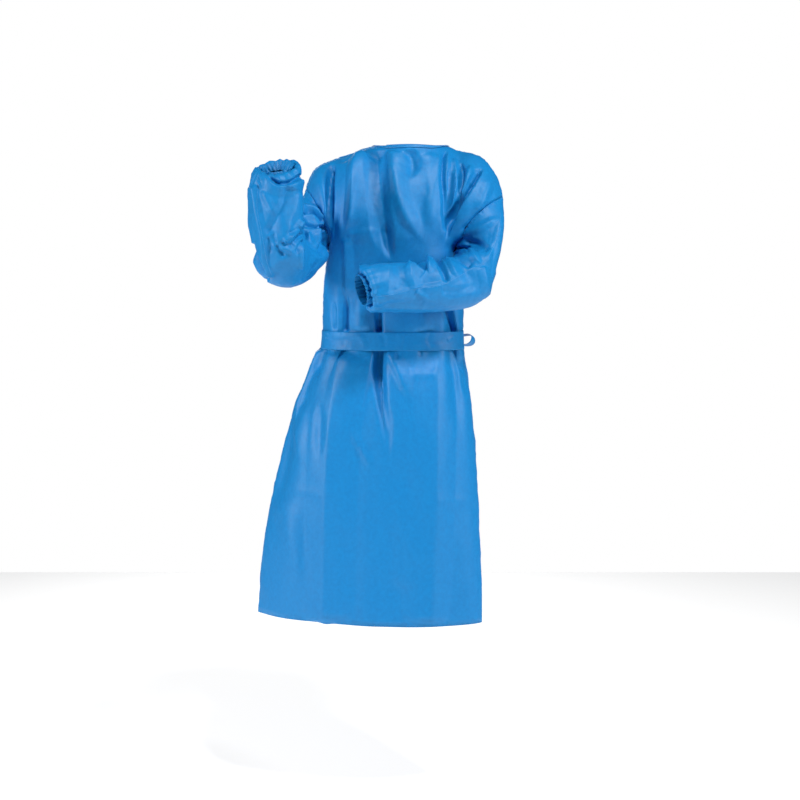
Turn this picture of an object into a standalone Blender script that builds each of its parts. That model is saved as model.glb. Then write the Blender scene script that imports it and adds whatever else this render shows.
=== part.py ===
"""A disposable isolation gown of blue nonwoven cloth, in the hollow form it has when worn.

The frame is in metres with +Z up. The origin is where the wearer holds the gown up: the
middle of the neck opening, level with the tops of the shoulders. The front faces -Y, so the
wearer's left arm is at +X. Each cut piece is a thin wall through rows of points that are
worked out from the tables of sizes below.
"""

import math
from collections import namedtuple

import bmesh
import bpy
import numpy as np
from mathutils import Vector

# Cloth, seams and the back lap
WALL = 0.0012
SEAM = 0.0004
NEXT_TO_SEAM = 0.075
LAP_LIFT = 0.0026
LAP_END = 1 / 6

# Heights down from the shoulders
HEM = -1.165
ARMPIT = -0.250
BELT_TOP = -0.455
BELT_LOW = -0.500
NECK_FROM = -0.30
NECK_TO = 0.36
BINDING_WIDTH = 0.008

# Counts of rows and columns in each wall
SHOULDER_COLUMNS = 9
NECK_COLUMNS = 9
TRUNK_ROWS = 7
SKIRT_ROWS = 11
SLEEVE_AROUND = 22
SLEEVE_ALONG = 26
ELBOW_RING = 10
CUFF_PLEATS = 14
CUFF_STEPS_A_PLEAT = 3

# The trunk and skirt, as level rings: where each side lies, how far the front and the back
# stand out from the line between the sides, and how round the sides are (2 is an ellipse, and
# less is a sharper side)
TrunkRow = namedtuple("TrunkRow", "height right_x right_y left_x left_y front back roundness")
TRUNK = [
    TrunkRow(-1.165, -0.358, -0.002, 0.202, -0.130, 0.118, 0.238, 1.55),
    TrunkRow(-1.080, -0.353, 0.000, 0.201, -0.118, 0.120, 0.226, 1.60),
    TrunkRow(-0.990, -0.343, 0.002, 0.198, -0.104, 0.124, 0.210, 1.66),
    TrunkRow(-0.870, -0.321, 0.004, 0.193, -0.084, 0.130, 0.186, 1.75),
    TrunkRow(-0.750, -0.293, 0.006, 0.186, -0.064, 0.132, 0.164, 1.86),
    TrunkRow(-0.630, -0.257, 0.006, 0.176, -0.044, 0.130, 0.142, 2.00),
    TrunkRow(-0.560, -0.229, 0.004, 0.167, -0.030, 0.124, 0.130, 2.15),
    TrunkRow(-0.500, -0.196, 0.001, 0.158, -0.018, 0.116, 0.116, 2.35),
    TrunkRow(-0.455, -0.192, -0.001, 0.156, -0.014, 0.114, 0.112, 2.45),
    TrunkRow(-0.390, -0.191, -0.003, 0.157, -0.010, 0.116, 0.118, 2.45),
    TrunkRow(-0.320, -0.186, -0.005, 0.144, -0.008, 0.114, 0.127, 2.45),
    TrunkRow(-0.250, -0.176, -0.008, 0.136, -0.008, 0.118, 0.130, 2.45),
]

# The top edge of the front and back, from the wearer's right armhole to the left one
TopPoint = namedtuple("TopPoint", "u x y z")
SHOULDER_RIGHT = [
    TopPoint(-1.00, -0.232, -0.004, -0.105),
    TopPoint(-0.80, -0.210, 0.002, -0.056),
    TopPoint(-0.60, -0.164, 0.008, -0.034),
    TopPoint(-0.40, -0.093, 0.012, -0.008),
    TopPoint(-0.30, -0.063, 0.012, 0.000),
]
NECK_FRONT = [
    TopPoint(-0.22, -0.052, -0.026, -0.002),
    TopPoint(-0.12, -0.026, -0.058, -0.004),
    TopPoint(0.02, 0.020, -0.074, -0.006),
    TopPoint(0.16, 0.066, -0.064, -0.005),
    TopPoint(0.28, 0.100, -0.030, -0.002),
]
NECK_BACK = [
    TopPoint(-0.22, -0.050, 0.044, 0.002),
    TopPoint(-0.12, -0.022, 0.064, 0.005),
    TopPoint(0.02, 0.022, 0.072, 0.007),
    TopPoint(0.16, 0.066, 0.066, 0.005),
    TopPoint(0.28, 0.100, 0.042, 0.001),
]
SHOULDER_LEFT = [
    TopPoint(0.36, 0.117, 0.008, 0.000),
    TopPoint(0.46, 0.136, 0.010, -0.010),
    TopPoint(0.62, 0.184, 0.008, -0.020),
    TopPoint(0.76, 0.214, 0.004, -0.038),
    TopPoint(0.89, 0.241, -0.004, -0.080),
    TopPoint(1.00, 0.254, -0.010, -0.125),
]

# Each sleeve, as rings: the point over the shoulder, the point under the arm, the half width
# between them, and how far the ring has turned from the armhole's fore-and-aft axis to the
# elbow's hinge axis
SleeveRow = namedtuple("SleeveRow", "top_x top_y top_z under_x under_y under_z half_width turned")
LEFT_SLEEVE = [
    SleeveRow(0.254, -0.010, -0.125, 0.140, -0.008, -0.250, 0.082, 0.0),
    SleeveRow(0.255, -0.040, -0.172, 0.156, -0.048, -0.262, 0.070, 0.5),
    SleeveRow(0.250, -0.070, -0.222, 0.150, -0.086, -0.271, 0.062, 1.0),
    SleeveRow(0.238, -0.095, -0.275, 0.132, -0.118, -0.274, 0.060, 1.0),
    SleeveRow(0.225, -0.112, -0.330, 0.118, -0.136, -0.276, 0.060, 1.0),
    SleeveRow(0.203, -0.130, -0.372, 0.105, -0.150, -0.278, 0.059, 1.0),
    SleeveRow(0.170, -0.150, -0.394, 0.091, -0.162, -0.280, 0.058, 1.0),
    SleeveRow(0.115, -0.174, -0.402, 0.069, -0.176, -0.282, 0.057, 1.0),
    SleeveRow(0.055, -0.194, -0.403, 0.040, -0.190, -0.283, 0.056, 1.0),
    SleeveRow(0.010, -0.209, -0.403, 0.006, -0.205, -0.284, 0.056, 1.0),
    SleeveRow(-0.032, -0.223, -0.403, -0.034, -0.221, -0.285, 0.055, 1.0),
    SleeveRow(-0.060, -0.234, -0.401, -0.070, -0.234, -0.289, 0.052, 1.0),
    SleeveRow(-0.066, -0.238, -0.396, -0.090, -0.242, -0.298, 0.046, 1.0),
]
RIGHT_SLEEVE = [
    SleeveRow(-0.232, -0.004, -0.105, -0.176, -0.008, -0.250, 0.082, 0.0),
    SleeveRow(-0.238, -0.070, -0.138, -0.212, -0.034, -0.272, 0.070, 0.3),
    SleeveRow(-0.248, -0.125, -0.176, -0.226, -0.074, -0.302, 0.064, 1.0),
    SleeveRow(-0.260, -0.165, -0.208, -0.240, -0.113, -0.326, 0.064, 1.0),
    SleeveRow(-0.264, -0.177, -0.219, -0.254, -0.153, -0.341, 0.067, 1.0),
    SleeveRow(-0.266, -0.183, -0.224, -0.270, -0.194, -0.345, 0.069, 1.0),
    SleeveRow(-0.267, -0.188, -0.224, -0.286, -0.234, -0.334, 0.070, 1.0),
    SleeveRow(-0.268, -0.191, -0.219, -0.300, -0.269, -0.304, 0.070, 1.0),
    SleeveRow(-0.269, -0.192, -0.207, -0.309, -0.290, -0.255, 0.069, 1.0),
    SleeveRow(-0.270, -0.193, -0.178, -0.312, -0.296, -0.200, 0.069, 1.0),
    SleeveRow(-0.270, -0.194, -0.138, -0.312, -0.296, -0.150, 0.068, 1.0),
    SleeveRow(-0.271, -0.196, -0.098, -0.310, -0.292, -0.108, 0.065, 1.0),
    SleeveRow(-0.272, -0.199, -0.060, -0.305, -0.285, -0.086, 0.060, 1.0),
    SleeveRow(-0.273, -0.203, -0.042, -0.300, -0.276, -0.082, 0.055, 1.0),
]
LEFT_HINGE = (0.35, -0.93, 0.10)
RIGHT_HINGE = (0.924, -0.383, 0.0)
LEFT_SWING = (-0.018, 0.000, 0.012)
RIGHT_SWING = (0.014, 0.000, 0.004)
LEFT_ARMHOLE_GAP = 0.0001
RIGHT_ARMHOLE_GAP = 0.0008
UNDERARM_GAP = 0.0014
SLEEVE_NEXT = 0.5

# Soft folds of the body cloth: a line in body coordinates, its half width and its height,
# which is below zero for a trough
Fold = namedtuple("Fold", "face u_from v_from u_to v_to half_width height")
BODY_FOLDS = [
    Fold("front", 0.46, -0.015, 0.66, -0.215, 0.019, -0.018),
    Fold("front", 0.68, -0.030, 0.76, -0.180, 0.018, -0.010),
    Fold("front", -0.62, -0.040, -0.72, -0.220, 0.020, -0.018),
    Fold("front", -0.42, -0.040, -0.52, -0.235, 0.022, 0.011),
    Fold("front", -0.22, -0.030, 0.12, -0.250, 0.034, 0.010),
    Fold("front", 0.06, -0.012, 0.12, -0.090, 0.022, -0.007),
    Fold("front", -0.078, -0.310, -0.110, -0.650, 0.017, -0.013),
    Fold("front", -0.410, -0.320, -0.480, -0.620, 0.018, -0.013),
    Fold("front", 0.566, -0.310, 0.640, -0.680, 0.020, -0.015),
    Fold("front", 0.300, -0.420, 0.330, -0.620, 0.017, -0.008),
    Fold("front", -0.820, -0.440, -0.800, -0.900, 0.026, -0.013),
    Fold("front", 0.120, -0.520, 0.180, -0.760, 0.034, 0.009),
    Fold("front", -0.500, -0.580, -0.560, -1.165, 0.034, 0.010),
    Fold("front", 0.420, -0.580, 0.380, -1.165, 0.034, 0.008),
    Fold("back", -0.66, -0.320, -0.62, -0.660, 0.024, -0.014),
    Fold("back", -0.36, -0.340, -0.38, -0.800, 0.026, -0.012),
    Fold("back", 0.56, -0.330, 0.54, -0.720, 0.024, -0.012),
    Fold("back", 0.80, -0.330, 0.78, -0.660, 0.022, -0.012),
    Fold("back", -0.52, -0.660, -0.54, -1.165, 0.040, 0.012),
    Fold("back", 0.40, -0.660, 0.42, -1.165, 0.040, 0.011),
    Fold("back", 0.58, -0.045, 0.52, -0.225, 0.024, -0.013),
    Fold("back", -0.58, -0.050, -0.52, -0.225, 0.024, -0.013),
]
CLOTH_REACH = 0.26
FOLD_ENDS = 0.35
BELT_HOLD = 0.045

# Folds of the sleeves, each a line in degrees around and rows along the sleeve
SleeveFold = namedtuple("SleeveFold", "around_from at_from around_to at_to half_width height")
LEFT_SLEEVE_FOLDS = [
    SleeveFold(105, 2.9, 40, 1.4, 0.018, -0.010),
    SleeveFold(120, 5.0, 62, 5.6, 0.016, -0.010),
    SleeveFold(125, 3.9, 55, 3.7, 0.015, -0.009),
    SleeveFold(30, 0.7, 62, 2.6, 0.020, 0.008),
    SleeveFold(110, 7.4, 60, 9.6, 0.016, -0.006),
    SleeveFold(255, 3.0, 300, 1.6, 0.020, -0.010),
    SleeveFold(240, 4.8, 290, 5.8, 0.018, -0.009),
]
RIGHT_SLEEVE_FOLDS = [
    SleeveFold(75, 2.0, 140, 1.3, 0.018, -0.010),
    SleeveFold(65, 7.6, 130, 9.2, 0.018, -0.009),
    SleeveFold(110, 6.4, 150, 9.8, 0.018, 0.008),
    SleeveFold(285, 7.2, 230, 8.6, 0.018, -0.009),
    SleeveFold(290, 3.0, 235, 1.6, 0.018, -0.010),
    SleeveFold(90, 4.2, 150, 4.6, 0.016, -0.009),
]
SLEEVE_DEGREE = 0.00105
SLEEVE_ROW = 0.042

# Cuffs, the belt's tie and the neck's tie
RIM_TURN = 0.010
RIM_SHRINK = 0.80
CUFF_SHRINK = 0.71
LEFT_CUFF_REACH = (-0.012, 0.016)
RIGHT_CUFF_REACH = (-0.022, 0.002)
PLEAT_DEPTH = 0.0016
BELT_LIFT = WALL + SEAM
BINDING_LIFT = WALL + 2 * SEAM
NECK_CORNER = 0.02
Bow = namedtuple("Bow", "u v knot width loop hole tail sway")
BELT_BOW = Bow(0.36, -0.4775, (0.0120, 0.0130, 0.0085), 0.030, 0.088, 0.014, 0.330, 0.020)
NECK_BOW = Bow(-0.0800, -0.0227, (0.0060, 0.0055, 0.0045), 0.011, 0.040, 0.008, 0.120, 0.008)
BOW_CLEAR = 0.0004
LOOP_CLEAR = 0.0009
BOW_ROOT = 0.28
KNOT_ROOM = 0.05
LOOP_STEPS = 16
TAIL_STEPS = 12


def clear_scene():
    """Removes whatever the scene holds."""
    for item in list(bpy.data.objects):
        bpy.data.objects.remove(item)


def spline(keys, rows, at):
    """The values at these keys of a smooth curve that passes through every row."""
    keys = np.asarray(keys, float)
    rows = np.asarray(rows, float)
    at = np.asarray(at, float)
    slopes = np.gradient(rows, keys, axis=0)
    i = np.clip(np.searchsorted(keys, at, side="right") - 1, 0, len(keys) - 2)
    span = (keys[i + 1] - keys[i])[..., None]
    t = (at[..., None] - keys[i][..., None]) / span
    start = (2 * t**3 - 3 * t**2 + 1) * rows[i] + (t**3 - 2 * t**2 + t) * span * slopes[i]
    end = (3 * t**2 - 2 * t**3) * rows[i + 1] + (t**3 - t**2) * span * slopes[i + 1]
    return start + end


def ease(x):
    """0 below 0, 1 above 1, and a smooth rise between."""
    x = np.clip(x, 0.0, 1.0)
    return x * x * (3 - 2 * x)


def unit(v):
    return v / np.maximum(np.linalg.norm(v, axis=-1, keepdims=True), 1e-12)


def seam_step(edge, inside, outside):
    """How an edge moves in from its seam line, so that two walls meet there with a gap.

    inside is a point of the same piece and outside is one of the piece across the seam."""
    way = unit(inside - edge)
    other = unit(outside - edge)
    cosine = np.clip(np.sum(way * other, -1, keepdims=True), -1.0, 0.7)
    corner = WALL / 2 * np.sqrt((1 + cosine) / (1 - cosine))
    return way * (SEAM / 2 + corner)


def trunk(face, u, height):
    """A point of the level rings. u runs from -1 at the wearer's right seam to 1 at the left."""
    row = spline([r.height for r in TRUNK], [r[1:] for r in TRUNK], height)
    right_x, right_y, left_x, left_y, front, back, roundness = np.moveaxis(row, -1, 0)
    turn = np.radians(90 * u)
    across = np.sign(u) * np.abs(np.sin(turn)) ** (2 / roundness)
    bulge = np.abs(np.cos(turn)) ** (2 / roundness)
    x = (left_x + right_x) / 2 + (left_x - right_x) / 2 * across
    y = (left_y + right_y) / 2 + (left_y - right_y) / 2 * across
    y = y - front * bulge if face == "front" else y + back * bulge
    return np.stack([x, y, height + 0 * x], -1)


def top_edge(face, u):
    """The shoulder seams and, between them, the neck edge, which turns a corner at each end."""
    neck = NECK_FRONT if face == "front" else NECK_BACK
    neck = [SHOULDER_RIGHT[-1], *neck, SHOULDER_LEFT[0]]
    right, middle, left = (
        spline([r.u for r in rows], [r[1:] for r in rows], u)
        for rows in (SHOULDER_RIGHT, neck, SHOULDER_LEFT)
    )
    in_right = (u <= NECK_FROM)[..., None]
    in_left = (u >= NECK_TO)[..., None]
    return np.where(in_right, right, np.where(in_left, left, middle))


def sleeve_frame(rows, hinge, at):
    """Centre, half height and half width vectors of the sleeve's ring at this place."""
    keys = np.arange(len(rows), dtype=float)
    values = spline(keys, rows, at)
    top, under = values[..., 0:3], values[..., 3:6]
    half_width, turned = values[..., 6:7], np.clip(values[..., 7:8], 0, 1)
    half_height = (top - under) / 2
    side = (1 - turned) * np.array([0.0, -1.0, 0.0]) + turned * np.array(hinge)
    axis = unit(half_height)
    side = unit(side - np.sum(side * axis, -1, keepdims=True) * axis)
    return (top + under) / 2, half_height, side * half_width


def sleeve_fold_height(folds, around, at):
    """How far the folds lift the sleeve here."""
    around, at = np.broadcast_arrays(np.asarray(around, float), np.asarray(at, float))
    total = np.zeros(around.shape)
    for f in folds:
        start = np.array([f.around_from * SLEEVE_DEGREE, f.at_from * SLEEVE_ROW])
        end = np.array([f.around_to * SLEEVE_DEGREE, f.at_to * SLEEVE_ROW])
        way = end - start
        here = np.stack([around * SLEEVE_DEGREE, at * SLEEVE_ROW], -1) - start
        along = here @ way / (way @ way)
        off = np.linalg.norm(here - np.clip(along, 0, 1)[..., None] * way, axis=-1)
        fade = ease(along / FOLD_ENDS + 0.3) * ease((1 - along) / FOLD_ENDS + 0.3)
        total += f.height * fade * np.exp(-((off / f.half_width) ** 2))
    return total * ease(at / 0.8)


def sleeve(rows, hinge, swing, folds, around, at):
    """A point of the sleeve: around is 0 over the shoulder, 90 in front, 180 under the arm."""
    centre, half_height, half_width = sleeve_frame(rows, hinge, at)
    angle = np.radians(around)[..., None]
    spoke = np.cos(angle) * half_height + np.sin(angle) * half_width
    lift = sleeve_fold_height(folds, around, at)[..., None]
    forward = np.clip(np.sin(angle), 0, 1) ** 2 * ease(1 - np.asarray(at, float)[..., None])
    return centre + spoke + unit(spoke) * lift + forward * np.array(swing)


def left_sleeve(around, at):
    return sleeve(LEFT_SLEEVE, LEFT_HINGE, LEFT_SWING, LEFT_SLEEVE_FOLDS, around, at)


def right_sleeve(around, at):
    return sleeve(RIGHT_SLEEVE, RIGHT_HINGE, RIGHT_SWING, RIGHT_SLEEVE_FOLDS, around, at)


def yoke(face, u, t):
    """A point above the armpits: t is 0 level with the armpits and 1 on the top edge."""
    low = trunk(face, u, np.full_like(u, ARMPIT))
    high = top_edge(face, u)
    back = 1.0 if face == "front" else -1.0
    in_neck = ease((u - NECK_FROM) / 0.16) * ease((NECK_TO - u) / 0.16)
    reach = np.linalg.norm(high - low, axis=-1)[..., None]
    rise = np.array([0.0, -0.10 * back, 1.0])
    over_shoulder = np.array([0.0, 1.15 * back, 0.05])
    up_neck = np.array([0.0, 0.42 * back, 0.85])
    leave = over_shoulder + in_neck[..., None] * (up_neck - over_shoulder)

    def column(low, high, reach, leave, t):
        t = t[..., None]
        return (
            (2 * t**3 - 3 * t**2 + 1) * low
            + (t**3 - 2 * t**2 + t) * reach * rise
            + (3 * t**2 - 2 * t**3) * high
            + (t**3 - t**2) * reach * leave
        )

    point = column(low, high, reach, leave, t)
    angle = 180 * (1 - t) if face == "front" else 180 * (1 + t)
    for end, arm in ((-1.0, right_sleeve), (1.0, left_sleeve)):
        edge_u = np.full_like(u, end)
        edge_low = trunk(face, edge_u, np.full_like(u, ARMPIT))
        edge_high = top_edge(face, edge_u)
        edge_reach = np.linalg.norm(edge_high - edge_low, axis=-1)[..., None]
        plain = column(edge_low, edge_high, edge_reach, over_shoulder + 0 * leave, t)
        armhole = arm(angle, np.zeros_like(t))
        near = ease((end * u - 0.35) / 0.65)[..., None]
        point = point + near * (armhole - plain)
    return point


def plain_body(face, u, v):
    """A point of the body without its folds, at u across it and v up it."""
    u, v = np.broadcast_arrays(np.asarray(u, float), np.asarray(v, float))
    upper = v > ARMPIT
    low = trunk(face, u, np.minimum(v, ARMPIT))
    high = yoke(face, u, np.clip((v - ARMPIT) / -ARMPIT, 0, 1))
    return np.where(upper[..., None], high, low)


def body_normal(face, u, v):
    """The outward direction of the plain body."""
    du, dv = 0.004, 0.004
    u = np.clip(u, -1 + du, 1 - du)
    v = np.clip(v, HEM + dv, -dv)
    across = plain_body(face, u + du, v) - plain_body(face, u - du, v)
    up = plain_body(face, u, v + dv) - plain_body(face, u, v - dv)
    out = np.cross(across, up)
    return unit(out if face == "front" else -out)


def fold_height(face, u, v):
    """How far the folds lift the cloth here."""
    ridges = np.zeros(np.broadcast(u, v).shape)
    troughs = np.zeros(np.broadcast(u, v).shape)
    for f in BODY_FOLDS:
        if f.face != face:
            continue
        start = np.array([f.u_from * CLOTH_REACH, f.v_from])
        end = np.array([f.u_to * CLOTH_REACH, f.v_to])
        way = end - start
        here = np.stack(np.broadcast_arrays(u * CLOTH_REACH, v), -1) - start
        along = here @ way / (way @ way)
        off = np.linalg.norm(here - np.clip(along, 0, 1)[..., None] * way, axis=-1)
        fade = ease(along / FOLD_ENDS + 0.3) * ease((1 - along) / FOLD_ENDS + 0.3)
        if f.v_to <= HEM:
            fade = ease(along / FOLD_ENDS)
        height = f.height * fade * np.exp(-((off / f.half_width) ** 2))
        ridges += np.maximum(height, 0)
        troughs += np.minimum(height, 0)
    from_belt = np.abs(v - (BELT_LOW + BELT_TOP) / 2) - (BELT_TOP - BELT_LOW) / 2
    return troughs + ridges * ease((from_belt - 0.004) / BELT_HOLD)


def body(face, u, v, lift=0.0):
    """A point of the folded body cloth, lifted off it by this much."""
    u, v = np.broadcast_arrays(np.asarray(u, float), np.asarray(v, float))
    out = body_normal(face, u, v)
    near_edge = ease((1 - np.abs(u)) / 0.12) * ease(-v / 0.03)
    return plain_body(face, u, v) + out * (near_edge * fold_height(face, u, v) + lift)[..., None]


def across_armhole(end, face, v):
    """The sleeve's point that lies across the armhole seam from the body's edge."""
    t = np.clip((v - ARMPIT) / -ARMPIT, 0, 1)
    around = 180 * (1 - t) if face == "front" else 180 * (1 + t)
    arm = left_sleeve if end > 0 else right_sleeve
    return arm(around, np.full_like(t, SLEEVE_NEXT))


def panel(face, u, v, lift=0.0):
    """A cut panel of the body, drawn in from the seams at its sides, armholes and shoulders."""
    other = "back" if face == "front" else "front"
    points = body(face, u, v, lift)
    step = np.zeros_like(points)
    for end in (-1.0, 1.0):
        edge = np.isclose(u, end)[..., None] + 0 * v[..., None] > 0.5
        near = end * (1 - NEXT_TO_SEAM)
        beside = np.where((v > ARMPIT)[..., None], across_armhole(end, face, v), body(other, near, v))
        here = body(face, end, v)
        step = np.where(edge, step + seam_step(here, body(face, near, v), beside), step)
    seam = (np.isclose(v, 0.0) & ((u <= NECK_FROM) | (u >= NECK_TO)))[..., None]
    below = ARMPIT / 11
    top = seam_step(body(face, u, 0.0), body(face, u, below), body(other, u, below))
    return points + np.where(seam, step + top, step)


def lap_lift(u):
    """The wearer's left back lies over the right one where they lap."""
    return LAP_LIFT * ease((2 * LAP_END - u) / LAP_END)


def body_heights():
    """Rows from the hem to the top edge, with one on each edge of the belt and binding."""
    skirt = np.linspace(HEM, BELT_LOW, SKIRT_ROWS + 1)
    belt = [(BELT_LOW + BELT_TOP) / 2]
    trunk_part = np.linspace(BELT_TOP, ARMPIT, TRUNK_ROWS)
    chest = np.linspace(ARMPIT, 0.0, SLEEVE_AROUND // 2 + 1)[1:-1]
    return np.concatenate([skirt, belt, trunk_part, chest, [-BINDING_WIDTH, 0.0]])


def smooth_material(name, colour, roughness):
    material = bpy.data.materials.new(name)
    material.use_nodes = True
    shader = material.node_tree.nodes["Principled BSDF"]
    shader.inputs["Base Color"].default_value = (*colour, 1.0)
    shader.inputs["Roughness"].default_value = roughness
    shader.inputs["Metallic"].default_value = 0.0
    return material


def add_wall(name, points, material, closed=False):
    """A wall of the cloth's thickness through a grid of points, with rows along its first axis.

    The grid's first axis crossed with its second points outwards."""
    rows, columns = points.shape[:2]
    mesh = bpy.data.meshes.new(name)
    form = bmesh.new()
    verts = [[form.verts.new(Vector(p)) for p in row] for row in points]
    last = columns if closed else columns - 1
    for j in range(rows - 1):
        for i in range(last):
            k = (i + 1) % columns
            form.faces.new((verts[j][i], verts[j + 1][i], verts[j + 1][k], verts[j][k]))
    form.to_mesh(mesh)
    form.free()
    mesh.materials.append(material)
    mesh.shade_smooth()
    wall = bpy.data.objects.new(name, mesh)
    bpy.context.scene.collection.objects.link(wall)
    thickness = wall.modifiers.new("wall", "SOLIDIFY")
    thickness.thickness = WALL
    thickness.offset = 0.0
    thickness.use_even_offset = False
    thickness.use_rim = True
    return wall


def body_columns():
    """Columns from the wearer's right seam to the left one, with one on each end of the neck."""
    right = np.linspace(-1, NECK_FROM, SHOULDER_COLUMNS + 1)
    neck = np.linspace(NECK_FROM, NECK_TO, NECK_COLUMNS + 1)
    left = np.linspace(NECK_TO, 1, SHOULDER_COLUMNS + 1)
    return np.concatenate([right, neck[1:-1], left])


def add_front(cloth):
    grid = panel("front", body_columns()[:, None], body_heights()[None, :])
    return add_wall("front", grid, cloth)


def add_backs(cloth):
    """The two backs, each past the middle, the wearer's left one over the right one."""
    u = body_columns()
    heights = body_heights()[None, :]
    right = u[u < LAP_END][::-1, None]
    add_wall("back_right", panel("back", right, heights), cloth)
    left = u[u > -LAP_END][::-1, None]
    add_wall("back_left", panel("back", left, heights, lap_lift(left)), cloth)


def beside_armhole(end, around):
    """The body's points that lie across the armhole seam from the sleeve's first ring."""
    v = -ARMPIT * (np.abs(around - 180) / 180) + ARMPIT
    near = end * (1 - NEXT_TO_SEAM)
    front = (around <= 180)[:, None]
    return np.where(front, body("front", near, v), body("back", near, v))


def add_sleeve(side, end, arm, rows, gap, cloth):
    """A sleeve, from the armhole to the rim, where the cloth turns in towards the cuff.

    It is one piece of cloth, parted at the elbow into two solids, so that collision can follow
    each half of the hollow."""
    around = np.linspace(0, 360, SLEEVE_AROUND, endpoint=False)
    along = np.linspace(0, len(rows) - 1, SLEEVE_ALONG + 1)
    grid = arm(around[None, :], along[:, None])
    under = ((1 - np.cos(np.radians(around))) / 2) ** 4
    next_ring = arm(around, np.full(SLEEVE_AROUND, SLEEVE_NEXT))
    grid[0] += seam_step(grid[0], next_ring, beside_armhole(end, around))
    grid[0] += unit(next_ring - grid[0]) * (gap + UNDERARM_GAP * under)[:, None]
    rim = grid[-1]
    centre = rim.mean(axis=0)
    back_up = unit(grid[-2] - grid[-1]).mean(axis=0)
    half_turn = centre + (rim - centre) * (1 + RIM_SHRINK) / 2 - back_up * RIM_TURN * 0.25
    turned_in = centre + (rim - centre) * RIM_SHRINK + back_up * RIM_TURN
    grid = np.concatenate([grid, half_turn[None], turned_in[None]])
    above, elbow, below = grid[ELBOW_RING - 1 : ELBOW_RING + 2]
    upper_end = elbow + seam_step(elbow, above, below)
    fore_end = elbow + seam_step(elbow, below, above)
    upper = np.concatenate([grid[:ELBOW_RING], upper_end[None]])
    fore = np.concatenate([fore_end[None], grid[ELBOW_RING + 1 :]])
    add_wall("sleeve_" + side, upper[:, ::-1], cloth, closed=True)
    add_wall("forearm_" + side, fore[:, ::-1], cloth, closed=True)


def add_cuff(name, arm, rows, reach, cloth):
    """The elastic cuff: a short tube drawn into pleats, inside the sleeve's turned-in rim."""
    steps = CUFF_PLEATS * CUFF_STEPS_A_PLEAT
    around = np.linspace(0, 360, steps, endpoint=False)
    last = len(rows) - 1.0
    rim = arm(around, np.full(steps, last))
    inner = arm(around, np.full(steps, last - 0.6))
    centre = rim.mean(axis=0)
    out = unit(centre - inner.mean(axis=0))
    pleat = PLEAT_DEPTH * np.cos(np.radians(around) * CUFF_PLEATS)
    spread = unit(rim - centre)
    tube = []
    for distance, shrink in zip(np.linspace(*reach, 4), (1.0, 0.97, 0.97, 1.02)):
        ring = centre + (rim - centre) * CUFF_SHRINK * shrink + spread * pleat[:, None]
        tube.append(ring + out * distance)
    return add_wall(name, np.array(tube)[:, ::-1], cloth, closed=True)


def over_body(face, u, heights, lift):
    """Points of a band that lies on the body here, clear of its folds."""
    out = body_normal(face, u + 0 * heights, heights + 0 * u)
    return plain_body(face, u, heights) + out * (lift + 0 * heights + 0 * u)[..., None]


def over_seam(u, heights, lift):
    """The band's points where it passes over a seam between the front and the back."""
    front = body_normal("front", u, heights)
    back = body_normal("back", u, heights)
    out = (front + back) / 2
    mitre = out / np.sum(out * out, -1, keepdims=True)
    return (plain_body("front", u, heights) + mitre * lift)[None, :]


def add_belt(cloth):
    """The belt, round the front and both backs, from one side of the tie's knot to the other."""
    heights = np.array([[BELT_LOW, (BELT_LOW + BELT_TOP) / 2, BELT_TOP]])
    u = body_columns()
    from_knot = u[(u < BELT_BOW.u - KNOT_ROOM) & (u > -0.99)][::-1, None]
    to_knot = u[(u > BELT_BOW.u + KNOT_ROOM) & (u < 0.99)][::-1, None]
    strips = [
        over_body("back", from_knot, heights, BELT_LIFT + lap_lift(from_knot)),
        over_seam(-1.0, heights[0], BELT_LIFT),
        over_body("front", u[1:-1, None], heights, BELT_LIFT),
        over_seam(1.0, heights[0], BELT_LIFT),
        over_body("back", to_knot, heights, BELT_LIFT + lap_lift(to_knot)),
    ]
    return add_wall("belt", np.concatenate(strips), cloth)


def add_binding(cloth):
    """The binding sewn over the neck edge, from the back lap right round to it again."""
    rows = np.array([[-BINDING_WIDTH, 0.0]])
    flat = np.zeros(2)
    right_seam = np.array([NECK_FROM - BINDING_WIDTH / 0.31, NECK_FROM])
    right_corner = np.array([[NECK_FROM, NECK_FROM + NECK_CORNER]])
    left_seam = np.array([NECK_TO + BINDING_WIDTH / 0.21, NECK_TO])
    left_corner = np.array([[NECK_TO, NECK_TO - NECK_CORNER]])
    u = body_columns()
    front = u[(u > NECK_FROM + 1e-6) & (u < NECK_TO - 1e-6), None]
    back = front[::-1]
    start = back[back[:, 0] < -LAP_END]
    end = back[back[:, 0] > -LAP_END]
    strips = [
        over_body("back", start, rows, BINDING_LIFT),
        over_body("back", right_corner, rows, BINDING_LIFT),
        over_seam(right_seam, flat, BINDING_LIFT),
        over_body("front", right_corner, rows, BINDING_LIFT),
        over_body("front", front, rows, BINDING_LIFT),
        over_body("front", left_corner, rows, BINDING_LIFT),
        over_seam(left_seam, flat, BINDING_LIFT),
        over_body("back", left_corner, rows, BINDING_LIFT),
        over_body("back", end, rows, BINDING_LIFT + lap_lift(end)),
    ]
    return add_wall("neck_binding", np.concatenate(strips), cloth)


def bow_frame(bow):
    """The knot's centre on the back, and the ways along the band, up and out from it."""
    u, v = np.array(bow.u), np.array(bow.v)
    out = body_normal("back", u, v)
    seat = body("back", u, v, lap_lift(u) + WALL / 2 + BOW_CLEAR)
    up = unit(np.array([0.0, 0.0, 1.0]) - out * out[2])
    return seat + out * bow.knot[2], np.cross(out, up), up, out


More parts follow.
